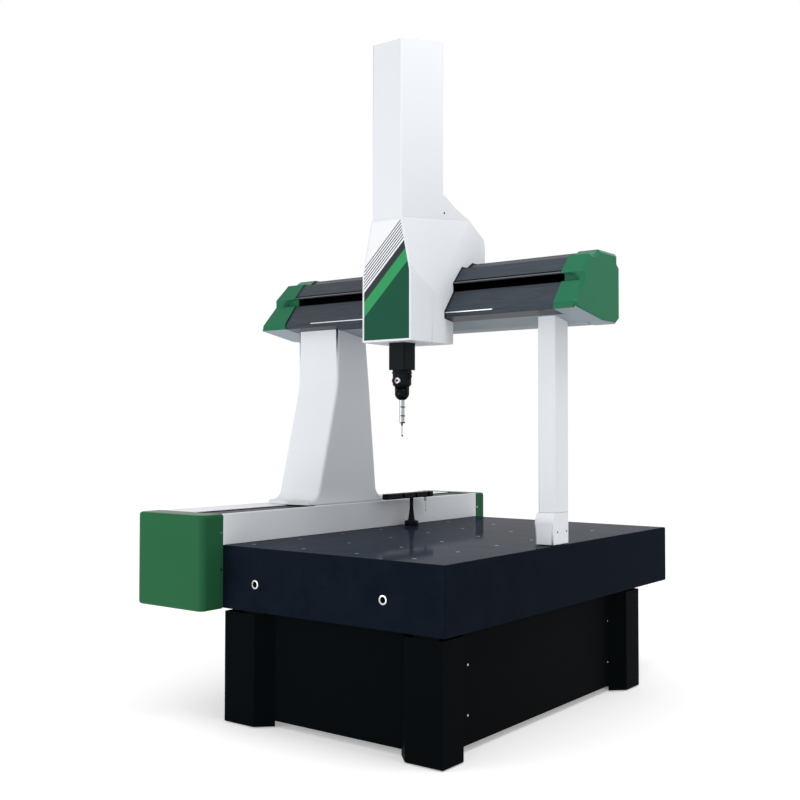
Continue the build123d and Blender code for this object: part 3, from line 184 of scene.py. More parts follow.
# Nodes that keep their own mesh, under the finish that they get
NODE_FINISHES = {
    "frame": ["stand_frame"],
    "granite": ["granite_table", "y_guide_rail"],
    "steel": ["levelling_feet", "table_inserts", "y_scale", "x_scale"],
    "stylus": ["stylus"],
    "probe": ["probe_body", "spare_module"],
    "dark steel": ["balance_weight"],
    "black": ["guide_strip", "probe_head_mount", "head_body"],
    "ball black": ["head_ball"],
    "plastic": ["rack_body"],
    "rubber": ["support_pads", "y_drive_belt", "x_drive_belt", "z_drive_belt"],
    "seal": ["passage_seals"],
    "motor": ["y_drive_motor", "x_drive_motor", "z_drive_motor"],
    "aluminium": ["y_idler", "y_drive_pulley", "y_saddle", "y_air_bearings", "leg_air_bearing", "x_idler",
                  "x_drive_pulley", "carriage_frame", "x_air_bearings", "ram_bearing_rings", "z_idler",
                  "z_drive_pulley", "ram"],
}


# Small helpers for selection and modelling
def leave_edit():
    """Goes back to object mode."""
    bpy.ops.object.mode_set(mode="OBJECT")


def deselect():
    """Nothing is selected and no object is active."""
    if bpy.context.mode != "OBJECT":
        leave_edit()
    bpy.ops.object.select_all(action="DESELECT")
    bpy.context.view_layer.objects.active = None


def activate(piece):
    """Only this piece is selected, and it is active."""
    deselect()
    piece.select_set(True)
    bpy.context.view_layer.objects.active = piece


def edit_all(piece):
    """Enters edit mode with all of a piece selected."""
    activate(piece)
    bpy.ops.object.mode_set(mode="EDIT")
    bpy.ops.mesh.select_all(action="SELECT")


def select_parts(piece, kind, wanted):
    """Enters edit mode with only the faces or edges that the test wants selected."""
    activate(piece)
    bpy.ops.object.mode_set(mode="EDIT")
    bpy.ops.mesh.select_mode(type=kind)
    bpy.ops.mesh.select_all(action="DESELECT")
    mesh = bmesh.from_edit_mesh(piece.data)
    for part in mesh.faces if kind == "FACE" else mesh.edges:
        part.select = bool(wanted(part))
    mesh.select_flush_mode()
    bmesh.update_edit_mesh(piece.data)


def settle(piece, name):
    """Names a piece and puts its place into its mesh."""
    activate(piece)
    piece.name = name
    piece.data.name = name
    bpy.ops.object.transform_apply(location=True, rotation=True, scale=True)
    return piece


def settle_along(piece, name, centre, axis):
    """Turns a piece modelled along z to an axis, puts it at its place and settles it."""
    piece.rotation_euler = Vector((0, 0, 1)).rotation_difference(Vector(axis)).to_euler()
    piece.location = centre
    return settle(piece, name)


def apply_modifier(piece, kind, **settings):
    """Adds one modifier with these settings and applies it."""
    activate(piece)
    modifier = piece.modifiers.new(kind.lower(), kind)
    for key, value in settings.items():
        setattr(modifier, key, value)
    bpy.ops.object.modifier_apply(modifier=modifier.name)


def smooth(piece, angle):
    """Shades round stretches smooth and keeps the sharp edges."""
    activate(piece)
    bpy.ops.object.shade_smooth_by_angle(angle=radians(angle))
    return piece


def smooth_cover(piece):
    """Shades a rounded cover smooth and lets its wide faces look flat."""
    smooth(piece, COVER_SMOOTH)
    apply_modifier(piece, "WEIGHTED_NORMAL", keep_sharp=True, weight=FLAT_FACE_WEIGHT)


def middle_of(node):
    """The middle of a CAD node's box."""
    return sum(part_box(node), Vector()) / 2


def merged_copy(node, name):
    """A copy of a CAD node's mesh with its triangles joined and its flat faces whole."""
    piece = bpy.data.objects.new(name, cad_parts[node].data.copy())
    bpy.context.scene.collection.objects.link(piece)
    piece.data.name = name
    edit_all(piece)
    bpy.ops.mesh.remove_doubles(threshold=WELD_DISTANCE)
    bpy.ops.mesh.dissolve_limited(angle_limit=radians(FLAT_ANGLE))
    leave_edit()
    return piece


def face_width(face):
    """The width of a face, as for a long strip: twice its area over its girth."""
    return 2 * face.calc_area() / max(sum(edge.calc_length() for edge in face.edges), 1e-9)


def clear_of_corners(edge, distance):
    """True if no other corner of the two faces comes nearer to the edge than this."""
    start, end = (vertex.co for vertex in edge.verts)
    run = end - start
    for face in edge.link_faces:
        for vertex in face.verts:
            share = (vertex.co - start).dot(run) / run.length_squared
            beside = EDGE_END_SHARE < share < 1 - EDGE_END_SHARE
            if beside and (start + run * share - vertex.co).length < distance:
                return False
    return True


def round_corners(piece, width, segments, angle, up_to=180.0):
    """Rounds the outer corners of these angles between faces that are wide enough for it."""
    def outer_corner(edge):
        faces = edge.link_faces
        return (len(faces) == 2 and radians(angle) < edge.calc_face_angle_signed(0.0) < radians(up_to)
                and all(face_width(face) > FACE_ROOM * width * MM for face in faces)
                and clear_of_corners(edge, CORNER_ROOM * width * MM))
    select_parts(piece, "EDGE", outer_corner)
    bpy.ops.mesh.bevel(offset=width * MM, segments=segments, profile=0.5, affect="EDGES",
                       clamp_overlap=True)
    leave_edit()


def rounded_cover(node, body, finish, width, segments=4):
    """A copy of a CAD cover with rounded outer corners, standing for the node."""
    piece = merged_copy(node, node + "_skin")
    round_corners(piece, width, segments, BLUNT_ANGLE)
    smooth_cover(piece)
    finish_piece(piece, body, finish, node)


def turned(name, centre, axis, outline, steps=48):
    """A turned piece: rings of (radius, height) in millimetres, extruded in turn along an axis."""
    rings = [(max(radius, POINT_RADIUS), height) for radius, height in outline]
    radius, height = rings[0]
    bpy.ops.mesh.primitive_circle_add(vertices=steps, radius=radius * MM, fill_type="NGON",
                                      location=(0, 0, height * MM))
    piece = bpy.context.object
    edit_all(piece)
    for next_radius, next_height in rings[1:]:
        rise = (next_height - height) * MM
        bpy.ops.mesh.extrude_region_move(TRANSFORM_OT_translate={"value": (0, 0, rise)})
        scale = next_radius / radius
        bpy.ops.transform.resize(value=(scale, scale, 1), center_override=(0, 0, next_height * MM))
        radius, height = next_radius, next_height
    bpy.ops.mesh.select_all(action="SELECT")
    bpy.ops.mesh.normals_make_consistent(inside=False)
    leave_edit()
    settle(piece, name)
    settle_along(piece, name, centre, axis)
    return smooth(piece, TURNED_SMOOTH)


def joined(pieces, name):
    """One piece from several, each already at its place."""
    activate(pieces[0])
    for piece in pieces:
        piece.select_set(True)
    bpy.ops.object.join()
    return settle(bpy.context.object, name)


def long_strip(name, middle, size, edge, lean=0.0):
    """A flat bar along x with its edges broken, turned about x by a lean in radians."""
    deselect()
    bpy.ops.mesh.primitive_cube_add(size=1, location=middle, rotation=(lean, 0, 0))
    piece = bpy.context.object
    piece.scale = size
    settle(piece, name)
    edit_all(piece)
    bpy.ops.mesh.bevel(offset=edge * MM, segments=2, affect="EDGES", clamp_overlap=True)
    leave_edit()
    return smooth(piece, PLAIN_SMOOTH)


def dress(piece, finish):
    """Gives a piece one finish."""
    piece.data.materials.clear()
    piece.data.materials.append(materials[finish])


def finish_piece(piece, body, finish, node=None):
    """Dresses a new piece, and lets it move with its body and stand for a CAD node."""
    dress(piece, finish)
    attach(piece, body)
    if node:
        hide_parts(node)


# Shader nodes and groups
def feed(tree, value, socket):
    """Feeds an input: another socket is linked to it, and a plain value is set on it."""
    if isinstance(value, bpy.types.NodeSocket):
        tree.links.new(value, socket)
    else:
        socket.default_value = value


def feed_inputs(tree, node, **values):
    """Feeds inputs by name; spaces in the names are written as underscores."""
    for key, value in values.items():
        feed(tree, value, node.inputs[key.replace("_", " ")])


def add_node(tree, kind, **settings):
    """A shader node with settings, where a name that is an input's feeds that input."""
    node = tree.nodes.new(kind)
    for key, value in settings.items():
        if key.replace("_", " ") in node.inputs:
            feed_inputs(tree, node, **{key: value})
        else:
            setattr(node, key, value)
    return node


def use_group(tree, name, **values):
    """Places a shader group with its own values."""
    return add_node(tree, "ShaderNodeGroup", node_tree=groups[name], **values)


def maths(tree, operation, *terms):
    """The result of a Math node whose terms are sockets or numbers."""
    node = add_node(tree, "ShaderNodeMath", operation=operation)
    for socket, term in zip(node.inputs, terms):
        feed(tree, term, socket)
    return node.outputs[0]


def scaled(tree, colour, factor):
    """A colour times a factor."""
    node = add_node(tree, "ShaderNodeVectorMath", operation="SCALE", Scale=factor)
    feed(tree, colour, node.inputs[0])
    return node.outputs[0]


def object_place(tree):
    """The place on the piece that a pattern reads."""
    return add_node(tree, "ShaderNodeTexCoord").outputs["Object"]


def noise(tree, place, scale, **settings):
    """Noise over a place, from 0 to 1."""
    return add_node(tree, "ShaderNodeTexNoise", Vector=place, Scale=scale, **settings).outputs["Fac"]


def bump(tree, height, shader, strength, distance):
    """A bump on the shader's normal, with its height in millimetres."""
    node = add_node(tree, "ShaderNodeBump", Strength=strength, Distance=distance * MM, Height=height)
    feed_inputs(tree, shader, Normal=node.outputs["Normal"])


def group_tree(name, inputs, outputs):
    """An empty shader node group, the values that it is given and the sockets that it puts out."""
    tree = bpy.data.node_groups.new(name, "ShaderNodeTree")
    for label, kind, default in inputs:
        item = tree.interface.new_socket(name=label, in_out="INPUT", socket_type=kind)
        item.default_value = default
    for label, kind in outputs:
        tree.interface.new_socket(name=label, in_out="OUTPUT", socket_type=kind)
    given = tree.nodes.new("NodeGroupInput")
    result = tree.nodes.new("NodeGroupOutput")
    return tree, given.outputs, result.inputs


def coat_group():
    """Painted or moulded skin: faint mottling, uneven gloss and a fine ripple."""
    tree, given, result = group_tree(
        "Coat skin",
        [("Color", COLOUR, (0.8, 0.8, 0.8, 1)), ("Mottle", NUMBER, 0.03), ("Roughness", NUMBER, 0.35),
         ("Uneven", NUMBER, 0.08), ("Scale", NUMBER, 6.0), ("Ripple scale", NUMBER, 400.0)],
        [("Color", COLOUR), ("Roughness", NUMBER), ("Height", NUMBER)],
    )
    place = object_place(tree)
    broad = noise(tree, place, given["Scale"], Detail=4.0, Roughness=0.55)
    centred = maths(tree, "SUBTRACT", broad, 0.5)
    shade = maths(tree, "MULTIPLY_ADD", centred, given["Mottle"], 1.0)
    feed(tree, scaled(tree, given["Color"], shade), result["Color"])
    gloss = maths(tree, "MULTIPLY_ADD", centred, given["Uneven"], given["Roughness"])
    feed(tree, gloss, result["Roughness"])
    feed(tree, noise(tree, place, given["Ripple scale"], Detail=2.0), result["Height"])
    return tree


def streak_group():
    """Long fine streaks along one axis, as on rolled or ground metal."""
    tree, given, result = group_tree(
        "Fine streaks",
        [("Stretch", TRIPLE, (1.0, 60.0, 60.0)), ("Scale", NUMBER, 8.0)],
        [("Streak", NUMBER)],
    )
    stretch = add_node(tree, "ShaderNodeVectorMath", operation="MULTIPLY")
    feed(tree, object_place(tree), stretch.inputs[0])
    feed(tree, given["Stretch"], stretch.inputs[1])
    streak = noise(tree, stretch.outputs[0], given["Scale"], Detail=3.0, Roughness=0.6)
    feed(tree, streak, result["Streak"])
    return tree


def grain_group():
    """Crystals of dark stone: fine light and dark specks over slow clouds."""
    tree, given, result = group_tree(
        "Stone grain",
        [("Dark", COLOUR, (0.01, 0.012, 0.02, 1)), ("Light", COLOUR, (0.06, 0.065, 0.09, 1)),
         ("Crystal scale", NUMBER, 500.0), ("Cloud scale", NUMBER, 9.0), ("Cloud", NUMBER, 0.35)],
        [("Color", COLOUR), ("Cloud", NUMBER)],
    )
    place = object_place(tree)
    crystal = add_node(tree, "ShaderNodeTexVoronoi", feature="F1", Vector=place,
                       Scale=given["Crystal scale"])
    value = add_node(tree, "ShaderNodeSeparateColor", Color=crystal.outputs["Color"])
    specks = maths(tree, "POWER", value.outputs[0], 3.0)
    cloud = noise(tree, place, given["Cloud scale"], Detail=6.0, Roughness=0.62)
    blend = add_node(tree, "ShaderNodeMix", data_type="FLOAT", Factor=given["Cloud"], A=specks, B=cloud)
    colour = add_node(tree, "ShaderNodeMix", data_type="RGBA", Factor=blend.outputs[0], A=given["Dark"],
                      B=given["Light"])
    feed(tree, colour.outputs["Result"], result["Color"])
    feed(tree, cloud, result["Cloud"])
    return tree


# Materials
def new_material(name):
    """A new material, its node tree and its shader."""
    material = bpy.data.materials.new(name)
    material.use_nodes = True
    tree = material.node_tree
    return material, tree, tree.nodes["Principled BSDF"]


def coated(name, colour, roughness, mottle=0.03, uneven=0.08, scale=6.0, ripple=400.0, ripple_mm=0.05,
           coat=0.0, specular=0.5, strength=0.25):
    """A painted, moulded or anodised surface."""
    material, tree, shader = new_material(name)
    skin = use_group(tree, "coat", Color=(*colour, 1.0), Mottle=mottle, Roughness=roughness,
                     Uneven=uneven, Scale=scale, Ripple_scale=ripple)
    feed_inputs(tree, shader, Base_Color=skin.outputs["Color"], Roughness=skin.outputs["Roughness"],
                Specular_IOR_Level=specular, Coat_Weight=coat, Coat_Roughness=0.08)
    bump(tree, skin.outputs["Height"], shader, strength, ripple_mm)
    return material


def streak_nodes(tree, colour, stretch, scale, contrast, low=0.0, high=1.0):
    """Streaks, the shade that they give and a colour in that shade."""
    streak = use_group(tree, "streak", Stretch=stretch, Scale=scale)
    shade = add_node(tree, "ShaderNodeMapRange", Value=streak.outputs["Streak"], From_Min=low,
                     From_Max=high, To_Min=1.0 - contrast, To_Max=1.0 + contrast)
    return streak, shade.outputs["Result"], scaled(tree, colour, shade.outputs["Result"])


def brushed(name, colour, roughness, stretch, contrast=0.25):
    """Bare metal with fine streaks along its run."""
    material, tree, shader = new_material(name)
    streak, shade, tint = streak_nodes(tree, colour, stretch, 8.0, contrast)
    feed_inputs(tree, shader, Base_Color=tint, Roughness=maths(tree, "MULTIPLY", shade, roughness),
                Metallic=1.0)
    bump(tree, streak.outputs["Streak"], shader, strength=0.3, distance=0.03)
    return material


def streaked(name, colour, roughness, stretch, scale, contrast, specular):
    """Painted sheet whose colour runs in long soft streaks."""
    material, tree, shader = new_material(name)
    streak, _, tint = streak_nodes(tree, colour, stretch, scale, contrast, low=0.3, high=0.7)
    feed_inputs(tree, shader, Base_Color=tint, Roughness=roughness, Specular_IOR_Level=specular)
    bump(tree, streak.outputs["Streak"], shader, strength=0.2, distance=0.05)
    return material


def ground_stone(name, look):
    """Ground granite: dark mottled sides, and a lapped top that mirrors faintly at a low angle and whose
    ground is painted lighter and bluer as sheen.
    """
    material, tree, shader = new_material(name)
    light = (*look.granite_light, 1.0)
    side = use_group(tree, "grain", Dark=(*look.granite_dark, 1.0), Light=light, Crystal_scale=420.0,
                     Cloud_scale=9.0, Cloud=0.75)
    # The top's lighter, bluer ground is painted sheen
    top_sheen_grain = use_group(tree, "grain", Dark=(*look.granite_top_sheen, 1.0), Light=light, Crystal_scale=520.0,
                       Cloud_scale=4.0, Cloud=0.4)
    facing = add_node(tree, "ShaderNodeNewGeometry")
    split = add_node(tree, "ShaderNodeSeparateXYZ", Vector=facing.outputs["Normal"])
    up = add_node(tree, "ShaderNodeMapRange", Value=split.outputs["Z"], From_Min=0.8, From_Max=0.98)
    colour = add_node(tree, "ShaderNodeMix", data_type="RGBA", Factor=up.outputs["Result"],
                      A=side.outputs["Color"], B=top_sheen_grain.outputs["Color"])
    feed_inputs(tree, shader, Base_Color=colour.outputs["Result"],
                Coat_Weight=maths(tree, "MULTIPLY", up.outputs["Result"], look.lapped_gloss),
                Roughness=maths(tree, "MULTIPLY_ADD", side.outputs["Cloud"], 0.2, 0.5),
                Specular_IOR_Level=0.01, Coat_IOR=1.1, Coat_Roughness=0.07)
    bump(tree, side.outputs["Cloud"], shader, strength=0.08, distance=0.3)
    return material


def build_materials():
    """Every finish of the machine."""
    deselect()
    look = bpy.context.scene.machine_look
    groups.update(coat=coat_group(), streak=streak_group(), grain=grain_group())
    materials.update({
        "white": coated("Satin white powder coat", look.white, 0.42, mottle=0.02, uneven=0.1, scale=3.0,
                        ripple=260.0, ripple_mm=0.03, specular=0.3, strength=0.1),
        "green": coated("Moulded green cover", look.green, 0.3, mottle=0.08, uneven=0.12, scale=5.0,
                        ripple=500.0, ripple_mm=0.04, specular=0.04),
        "cap green": coated("Glossy green cap", look.cap_green, 0.2, mottle=0.06, scale=8.0,
                            ripple=500.0, ripple_mm=0.03, coat=0.03, specular=0.03),
        "beam cover": streaked("Slate beam cover", look.beam_cover, 0.36, (1.0, 40.0, 40.0), scale=9.0,
                               contrast=0.3, specular=0.1),
        # Near-black that paints the shade in the groove
        "groove": coated("Black groove lining", (0.0015, 0.0015, 0.002), 0.6, mottle=0.1, scale=20.0,
                         specular=0.05),
        # Grey that paints the highlight on the upper cover's lip
        "lip": coated("Grey lip", (0.15, 0.165, 0.18), 0.4, mottle=0.1, scale=20.0, specular=0.2),
        "stand": coated("Black stand sheet", look.stand, 0.5, mottle=0.15, uneven=0.1, scale=4.0,
                        ripple=600.0, specular=0.008),
        "black": coated("Black anodised", (0.0075, 0.0105, 0.0125), 0.38, mottle=0.15, scale=20.0,
                        specular=0.04),
        "ball black": coated("Polished black ball", (0.004, 0.005, 0.006), 0.2, mottle=0.05, scale=20.0,
                             specular=0.06),
        "plastic": coated("Black moulded plastic", (0.005, 0.007, 0.009), 0.45, mottle=0.1, scale=20.0,
                          ripple=900.0, ripple_mm=0.08, specular=0.05),
        "rubber": coated("Black rubber", (0.01, 0.01, 0.01), 0.7, mottle=0.1, scale=30.0, ripple=900.0,
                         ripple_mm=0.1, specular=0.2),
        "seal": coated("Black brush seal", (0.002, 0.002, 0.0025), 0.8, mottle=0.2, scale=60.0,
                       ripple=1500.0, ripple_mm=0.3, specular=0.05),
        "motor": coated("Black motor case", (0.02, 0.02, 0.022), 0.4, mottle=0.1, scale=20.0,
                        specular=0.3),
        "frame": coated("Black frame paint", (0.008, 0.009, 0.01), 0.5, mottle=0.1, scale=10.0,
                        specular=0.1),
        # Grey set darker than the beam's light grey metal: painted shade under the beam
        "cast": coated("Grey painted casting", look.casting, 0.5, mottle=0.05, scale=12.0, ripple=900.0,
                       ripple_mm=0.1, specular=0.25),
        "steel": brushed("Turned steel", (0.5, 0.51, 0.53), 0.25, (40.0, 40.0, 40.0)),
        "probe": brushed("Polished probe steel", (0.4, 0.415, 0.43), 0.3, (30.0, 30.0, 300.0),
                         contrast=0.2),
        "stylus": brushed("Dark stylus stem", (0.09, 0.095, 0.1), 0.3, (30.0, 30.0, 30.0)),
        # Bright metal that paints the highlight on the beam's nose
        "highlight_strip": brushed("Bright scale tape", (0.72, 0.75, 0.78), 0.35, (1.0, 80.0, 80.0), contrast=0.1),
        "dark steel": brushed("Blackened steel band", (0.02, 0.022, 0.026), 0.35, (80.0, 1.0, 80.0)),
        "aluminium": brushed("Milled aluminium", (0.58, 0.6, 0.62), 0.32, (1.0, 80.0, 80.0)),
        "granite": ground_stone("Ground black granite", look),
        "livery white": coated("Livery white", look.livery_white, 0.42, mottle=0.02, scale=3.0,
                               specular=0.2),
        "livery grey": coated("Livery dark grey", look.livery_grey, 0.4, mottle=0.04, specular=0.02),
        "livery light": coated("Livery light green", look.livery_light, 0.4, mottle=0.04, specular=0.02),
        "livery green": coated("Livery dark green", look.livery_dark, 0.4, mottle=0.05, specular=0.02),
        "ruby": coated("Ruby ball", (0.25, 0.02, 0.03), 0.08, mottle=0.0, ripple_mm=0.0),
        "lamp": coated("Indicator window", (0.25, 0.02, 0.05), 0.15, mottle=0.0, ripple_mm=0.0),
    })


# Sizes, colours and light that a user can change
def colour_property(label, text, default):
    """A colour that a user can change."""
    return FloatVectorProperty(name=label, description=text, subtype="COLOR", default=default, min=0, max=1)


def millimetres(label, text, default):
    """A size in millimetres that a user can change."""
    return FloatProperty(name=label, description=text + ", in millimetres", default=default, min=0.01)


class MachineLook(PropertyGroup):
    """Colours and small sizes of the machine's skin."""
    white: colour_property("White", "Housings, column and leg", (0.76, 0.785, 0.825))
    green: colour_property("Green", "Covers of the drive", (0.018, 0.105, 0.043))
    cap_green: colour_property("Cap green", "End caps of the beam", (0.022, 0.158, 0.08))
    beam_cover: colour_property("Beam cover", "Covers of the beam", (0.042, 0.052, 0.066))
    casting: colour_property("Casting", "Underside of the beam, darkened as painted shade", (0.3, 0.36, 0.4))
    stand: colour_property("Stand", "Sheet of the stand", (0.002, 0.0031, 0.0038))
    granite_dark: colour_property("Granite ground", "Ground of the granite", (0.0018, 0.003, 0.0065))
    granite_light: colour_property("Granite specks", "Specks of the granite", (0.009, 0.0145, 0.024))
    # Lighter, bluer ground of the top: painted sheen
    granite_top_sheen: colour_property("Granite top", "Ground of the lapped top, painted lighter as sheen", (0.005, 0.013, 0.031))
    lapped_gloss: FloatProperty(name="Lapped gloss", description="How far the table's top mirrors",
                                default=0.2, min=0, max=1)
    livery_white: colour_property("Livery white", "Border and ground of the livery", (0.84, 0.855, 0.88))
    livery_grey: colour_property("Livery grey", "Grey band and thin stripes", (0.04, 0.05, 0.056))
    livery_light: colour_property("Livery light green", "Light band of the livery", (0.042, 0.31, 0.112))
    livery_dark: colour_property("Livery dark green", "Main field of the livery", (0.016, 0.087, 0.052))
    crease_round: millimetres("Housing crease", "Width of the housing's soft creases", 16.0)
    housing_round: millimetres("Housing edge", "Rounding of the housing's sharp edges", 7.0)
    tower_round: millimetres("Tower edge", "Rounding of the tower's edges", 7.0)
    cap_round: millimetres("Cap edge", "Rounding of the beam's end caps", 5.0)
    cap_lean: millimetres("Cap lean", "How far the left cap's end leans in at the top", 72.0)
    cap_reach: millimetres("Cap lean's reach", "Length of the left cap that leans", 76.0)
    drive_round: millimetres("Drive cover edge", "Rounding of the guide's green end covers", 8.0)
    fold_round: millimetres("Fold", "Rounding of folded sheets", 2.5)
    livery_border: millimetres("Livery border", "White border round the livery", 9.0)
    stripe_slope: FloatProperty(name="Stripe slope", description="Rise of the stripes over their run",
                                default=0.97)
    stripe_count: IntProperty(name="Thin stripes", description="How many thin stripes", default=7, min=1)
    stripe_pitch: millimetres("Stripe pitch", "Height from one thin stripe to the next", 15.3)
    stripe_height: millimetres("Stripe height", "Height of a thin stripe", 6.2)


class MachineStage(PropertyGroup):
    """Floor, light and camera."""
    floor_size: FloatProperty(name="Floor", description="Side of the floor", default=40.0, unit="LENGTH")
    key_power: FloatProperty(name="Key light", description="Power of the key light", default=35.0, min=0)
    fill_power: FloatProperty(name="Fill light", description="Power of the fill light", default=50.0, min=0)
    low_power: FloatProperty(name="Low light", description="Power of the low front light", default=32.0,
                             min=0)
    world_strength: FloatProperty(name="Sky", description="Strength of the even light", default=0.78, min=0)
    lens: FloatProperty(name="Lens", description="Focal length in millimetres", default=48.28, min=10)
    camera_place: FloatVectorProperty(name="Camera", description="Place of the camera", unit="LENGTH",
                                      subtype="TRANSLATION", default=(2.9834, -4.1993, 1.2363))
    camera_turn: FloatVectorProperty(name="Turn", description="Pitch, roll and yaw of the camera in degrees",
                                     default=(1.678, -0.06, 37.015))


class MEASURE_OT_finishes(Operator):
    """Builds the materials and gives each node that keeps its own mesh its finish"""
    bl_idname = "measure.finishes"
    bl_label = "Finishes"

    def execute(self, context):
        build_materials()
        for finish, names in NODE_FINISHES.items():
            for name in names:
                dress(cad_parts[name], finish)
                smooth(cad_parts[name], PLAIN_SMOOTH)
        deselect()
        return {"FINISHED"}


# White housings, column, leg and guide covers
class MEASURE_OT_housing(Operator):
    """Rounds the creases of the carriage housing and of the tower above it"""
    bl_idname = "measure.housing"
    bl_label = "Housing and tower"

    def execute(self, context):
        look = context.scene.machine_look
        skin = merged_copy("carriage_housing", "carriage_housing_skin")
        round_corners(skin, look.crease_round, 6, CREASE_ANGLE, up_to=SHARP_ANGLE)
        round_corners(skin, look.housing_round, 4, SHARP_ANGLE)
        smooth_cover(skin)
        finish_piece(skin, "carriage", "white", "carriage_housing")
        rounded_cover("tower_cover", "carriage", "white", look.tower_round)
        return {"FINISHED"}


class MEASURE_OT_bridge_legs(Operator):
    """Rounds the column, the right leg and its foot cover"""
    bl_idname = "measure.bridge_legs"
    bl_label = "Column and leg"

    def execute(self, context):
        for node in ("column", "right_leg", "leg_shoe"):
            rounded_cover(node, "bridge", "white", context.scene.machine_look.fold_round)
        return {"FINISHED"}


class MEASURE_OT_guide_covers(Operator):
    """Rounds the folds of the guide's white covers and of its green end covers"""
    bl_idname = "measure.guide_covers"
    bl_label = "Guide covers"

    def execute(self, context):
        look = context.scene.machine_look
        for node in ("guide_inner_cover", "guide_outer_cover"):
            rounded_cover(node, "base", "white", look.fold_round)
        for node in ("front_drive_cover", "rear_drive_cover"):
            rounded_cover(node, "base", "green", look.drive_round)
        return {"FINISHED"}


# Beam with its caps and covers
def lean_end(piece):
    """Leans the left end of a piece inward with its height, as the left cap's end does."""
    look = bpy.context.scene.machine_look
    low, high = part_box("left_end_cap")
    floor_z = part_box("beam")[0].z
    edit_all(piece)
    mesh = bmesh.from_edit_mesh(piece.data)
    for vertex in mesh.verts:
        share = min(max((low.x + look.cap_reach * MM - vertex.co.x) / (look.cap_reach * MM), 0), 1)
        height = max((vertex.co.z - floor_z) / (high.z - floor_z), 0)
        vertex.co.x += look.cap_lean * MM * share * height
    bmesh.update_edit_mesh(piece.data)
    leave_edit()


class MEASURE_OT_end_caps(Operator):
    """Rounds the green caps at both ends of the beam, and leans the left one's end with the beam's"""
    bl_idname = "measure.end_caps"
    bl_label = "Beam end caps"

    def execute(self, context):
        floor_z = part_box("beam")[0].z
        for node in ("left_end_cap", "right_end_cap"):
            piece = merged_copy(node, node + "_skin")
            edit_all(piece)
            bpy.ops.mesh.bisect(plane_co=(0, 0, floor_z), plane_no=(0, 0, -1), use_fill=True,
                                clear_outer=True)
            leave_edit()
            if node == "left_end_cap":
                lean_end(piece)
            round_corners(piece, context.scene.machine_look.cap_round, 4, BLUNT_ANGLE)
            smooth_cover(piece)
            finish_piece(piece, "bridge", "cap green", node)
        core = merged_copy("beam", "beam_skin")
        lean_end(core)
        smooth(core, PLAIN_SMOOTH)
        # The beam core takes the grey darkened as painted shade under it
        finish_piece(core, "bridge", "cast", "beam")
        return {"FINISHED"}


def build_nose_highlight():
    """Lays a bright strip along the beam's nose as a painted highlight on its crease."""
    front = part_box("beam_lower_cover")[0].y
    highlight_strip = long_strip("nose_tape", ((NOSE_HIGHLIGHT_LEFT + NOSE_HIGHLIGHT_RIGHT) / 2, front - NOSE_HIGHLIGHT_PROUD / 2, NOSE_HIGHLIGHT_Z),
                      (NOSE_HIGHLIGHT_RIGHT - NOSE_HIGHLIGHT_LEFT, NOSE_HIGHLIGHT_PROUD, NOSE_HIGHLIGHT_HEIGHT), NOSE_HIGHLIGHT_EDGE)
    finish_piece(highlight_strip, "bridge", "highlight_strip")


def build_groove_shade_sheet():
    """Lines the slanted wall behind the groove in black, as painted shade in the groove."""
    piece = merged_copy("beam", "groove_lining")
    select_parts(piece, "FACE", lambda face: not (face.normal.y < -0.7 and 0.5 < face.normal.z < 0.8))
    bpy.ops.mesh.delete(type="FACE")
    leave_edit()
    lean_end(piece)
    apply_modifier(piece, "SOLIDIFY", thickness=SHADE_SHEET_THICKNESS * MM, offset=1.0)
    finish_piece(piece, "bridge", "groove")


def build_lip_highlight_and_shade():
    """Runs a light line, a painted highlight on the lip, and a black line, painted shade of the groove, along
    the lower edge of the upper cover.
    """
    low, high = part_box("beam_upper_cover")
    rise = Vector((0, COVER_RUN, COVER_RISE)).normalized()
    out = Vector((0, -COVER_RISE, COVER_RUN)).normalized()
    foot = Vector((middle_of("beam_upper_cover").x, low.y + COVER_FOOT_BACK * MM,
                   low.z + COVER_FOOT_UP * MM))
    length = high.x - low.x - 2 * MM
    lean = rise.yz.angle_signed(Vector((1, 0)))
    for height, width, finish in LIP_LINES:
        middle = foot + rise * height * MM + out * LIP_LINE_OUT * MM
        line = long_strip("cover_line_" + finish, middle, (length, width * MM, LIP_LINE_THICKNESS * MM),
                          LIP_LINE_EDGE, lean)
        finish_piece(line, "bridge", finish)


class MEASURE_OT_beam_covers(Operator):
    """Rounds the folds of the beam's covers and adds the black sheet of painted shade in the groove, the
    painted highlight and shade lines at its lip and the bright strip of painted highlight on the nose
    """
    bl_idname = "measure.beam_covers"
    bl_label = "Beam covers"

    def execute(self, context):
        look = context.scene.machine_look
        for node in ("beam_lower_cover", "beam_upper_cover"):
            rounded_cover(node, "bridge", "beam cover", look.fold_round, segments=3)
        build_nose_highlight()
        build_groove_shade_sheet()
        build_lip_highlight_and_shade()
        return {"FINISHED"}


class MEASURE_OT_stand_covers(Operator):
    """Rounds the folds of the stand's black covers"""
    bl_idname = "measure.stand_covers"
    bl_label = "Stand covers"

    def execute(self, context):
        for node in ("stand_corner_covers", "stand_end_panels", "stand_side_panels"):
            rounded_cover(node, "base", "stand", context.scene.machine_look.fold_round)
        return {"FINISHED"}


class MEASURE_OT_ram_cover(Operator):
    """Rounds the ram's black end cover"""
    bl_idname = "measure.ram_cover"
    bl_label = "Ram cover"

    def execute(self, context):
        rounded_cover("ram_end_cover", "ram", "black", RAM_ROUND)
        return {"FINISHED"}


# Livery
def thin_stripes(look):
    """Top and bottom of each thin stripe, at the middle of the facet."""
    tops = [FIRST_STRIPE - number * look.stripe_pitch for number in range(look.stripe_count)]
    return [(top, top - look.stripe_height) for top in tops]


def livery_field(look, rise):
    """Number of the finish at a height: white, grey, light green or dark green."""
    if rise < GREEN_TOP:
        return 3
    if rise < LIGHT_TOP:
        return 2
    if rise < GREY_TOP or any(bottom < rise < top for top, bottom in thin_stripes(look)):
        return 1
    return 0


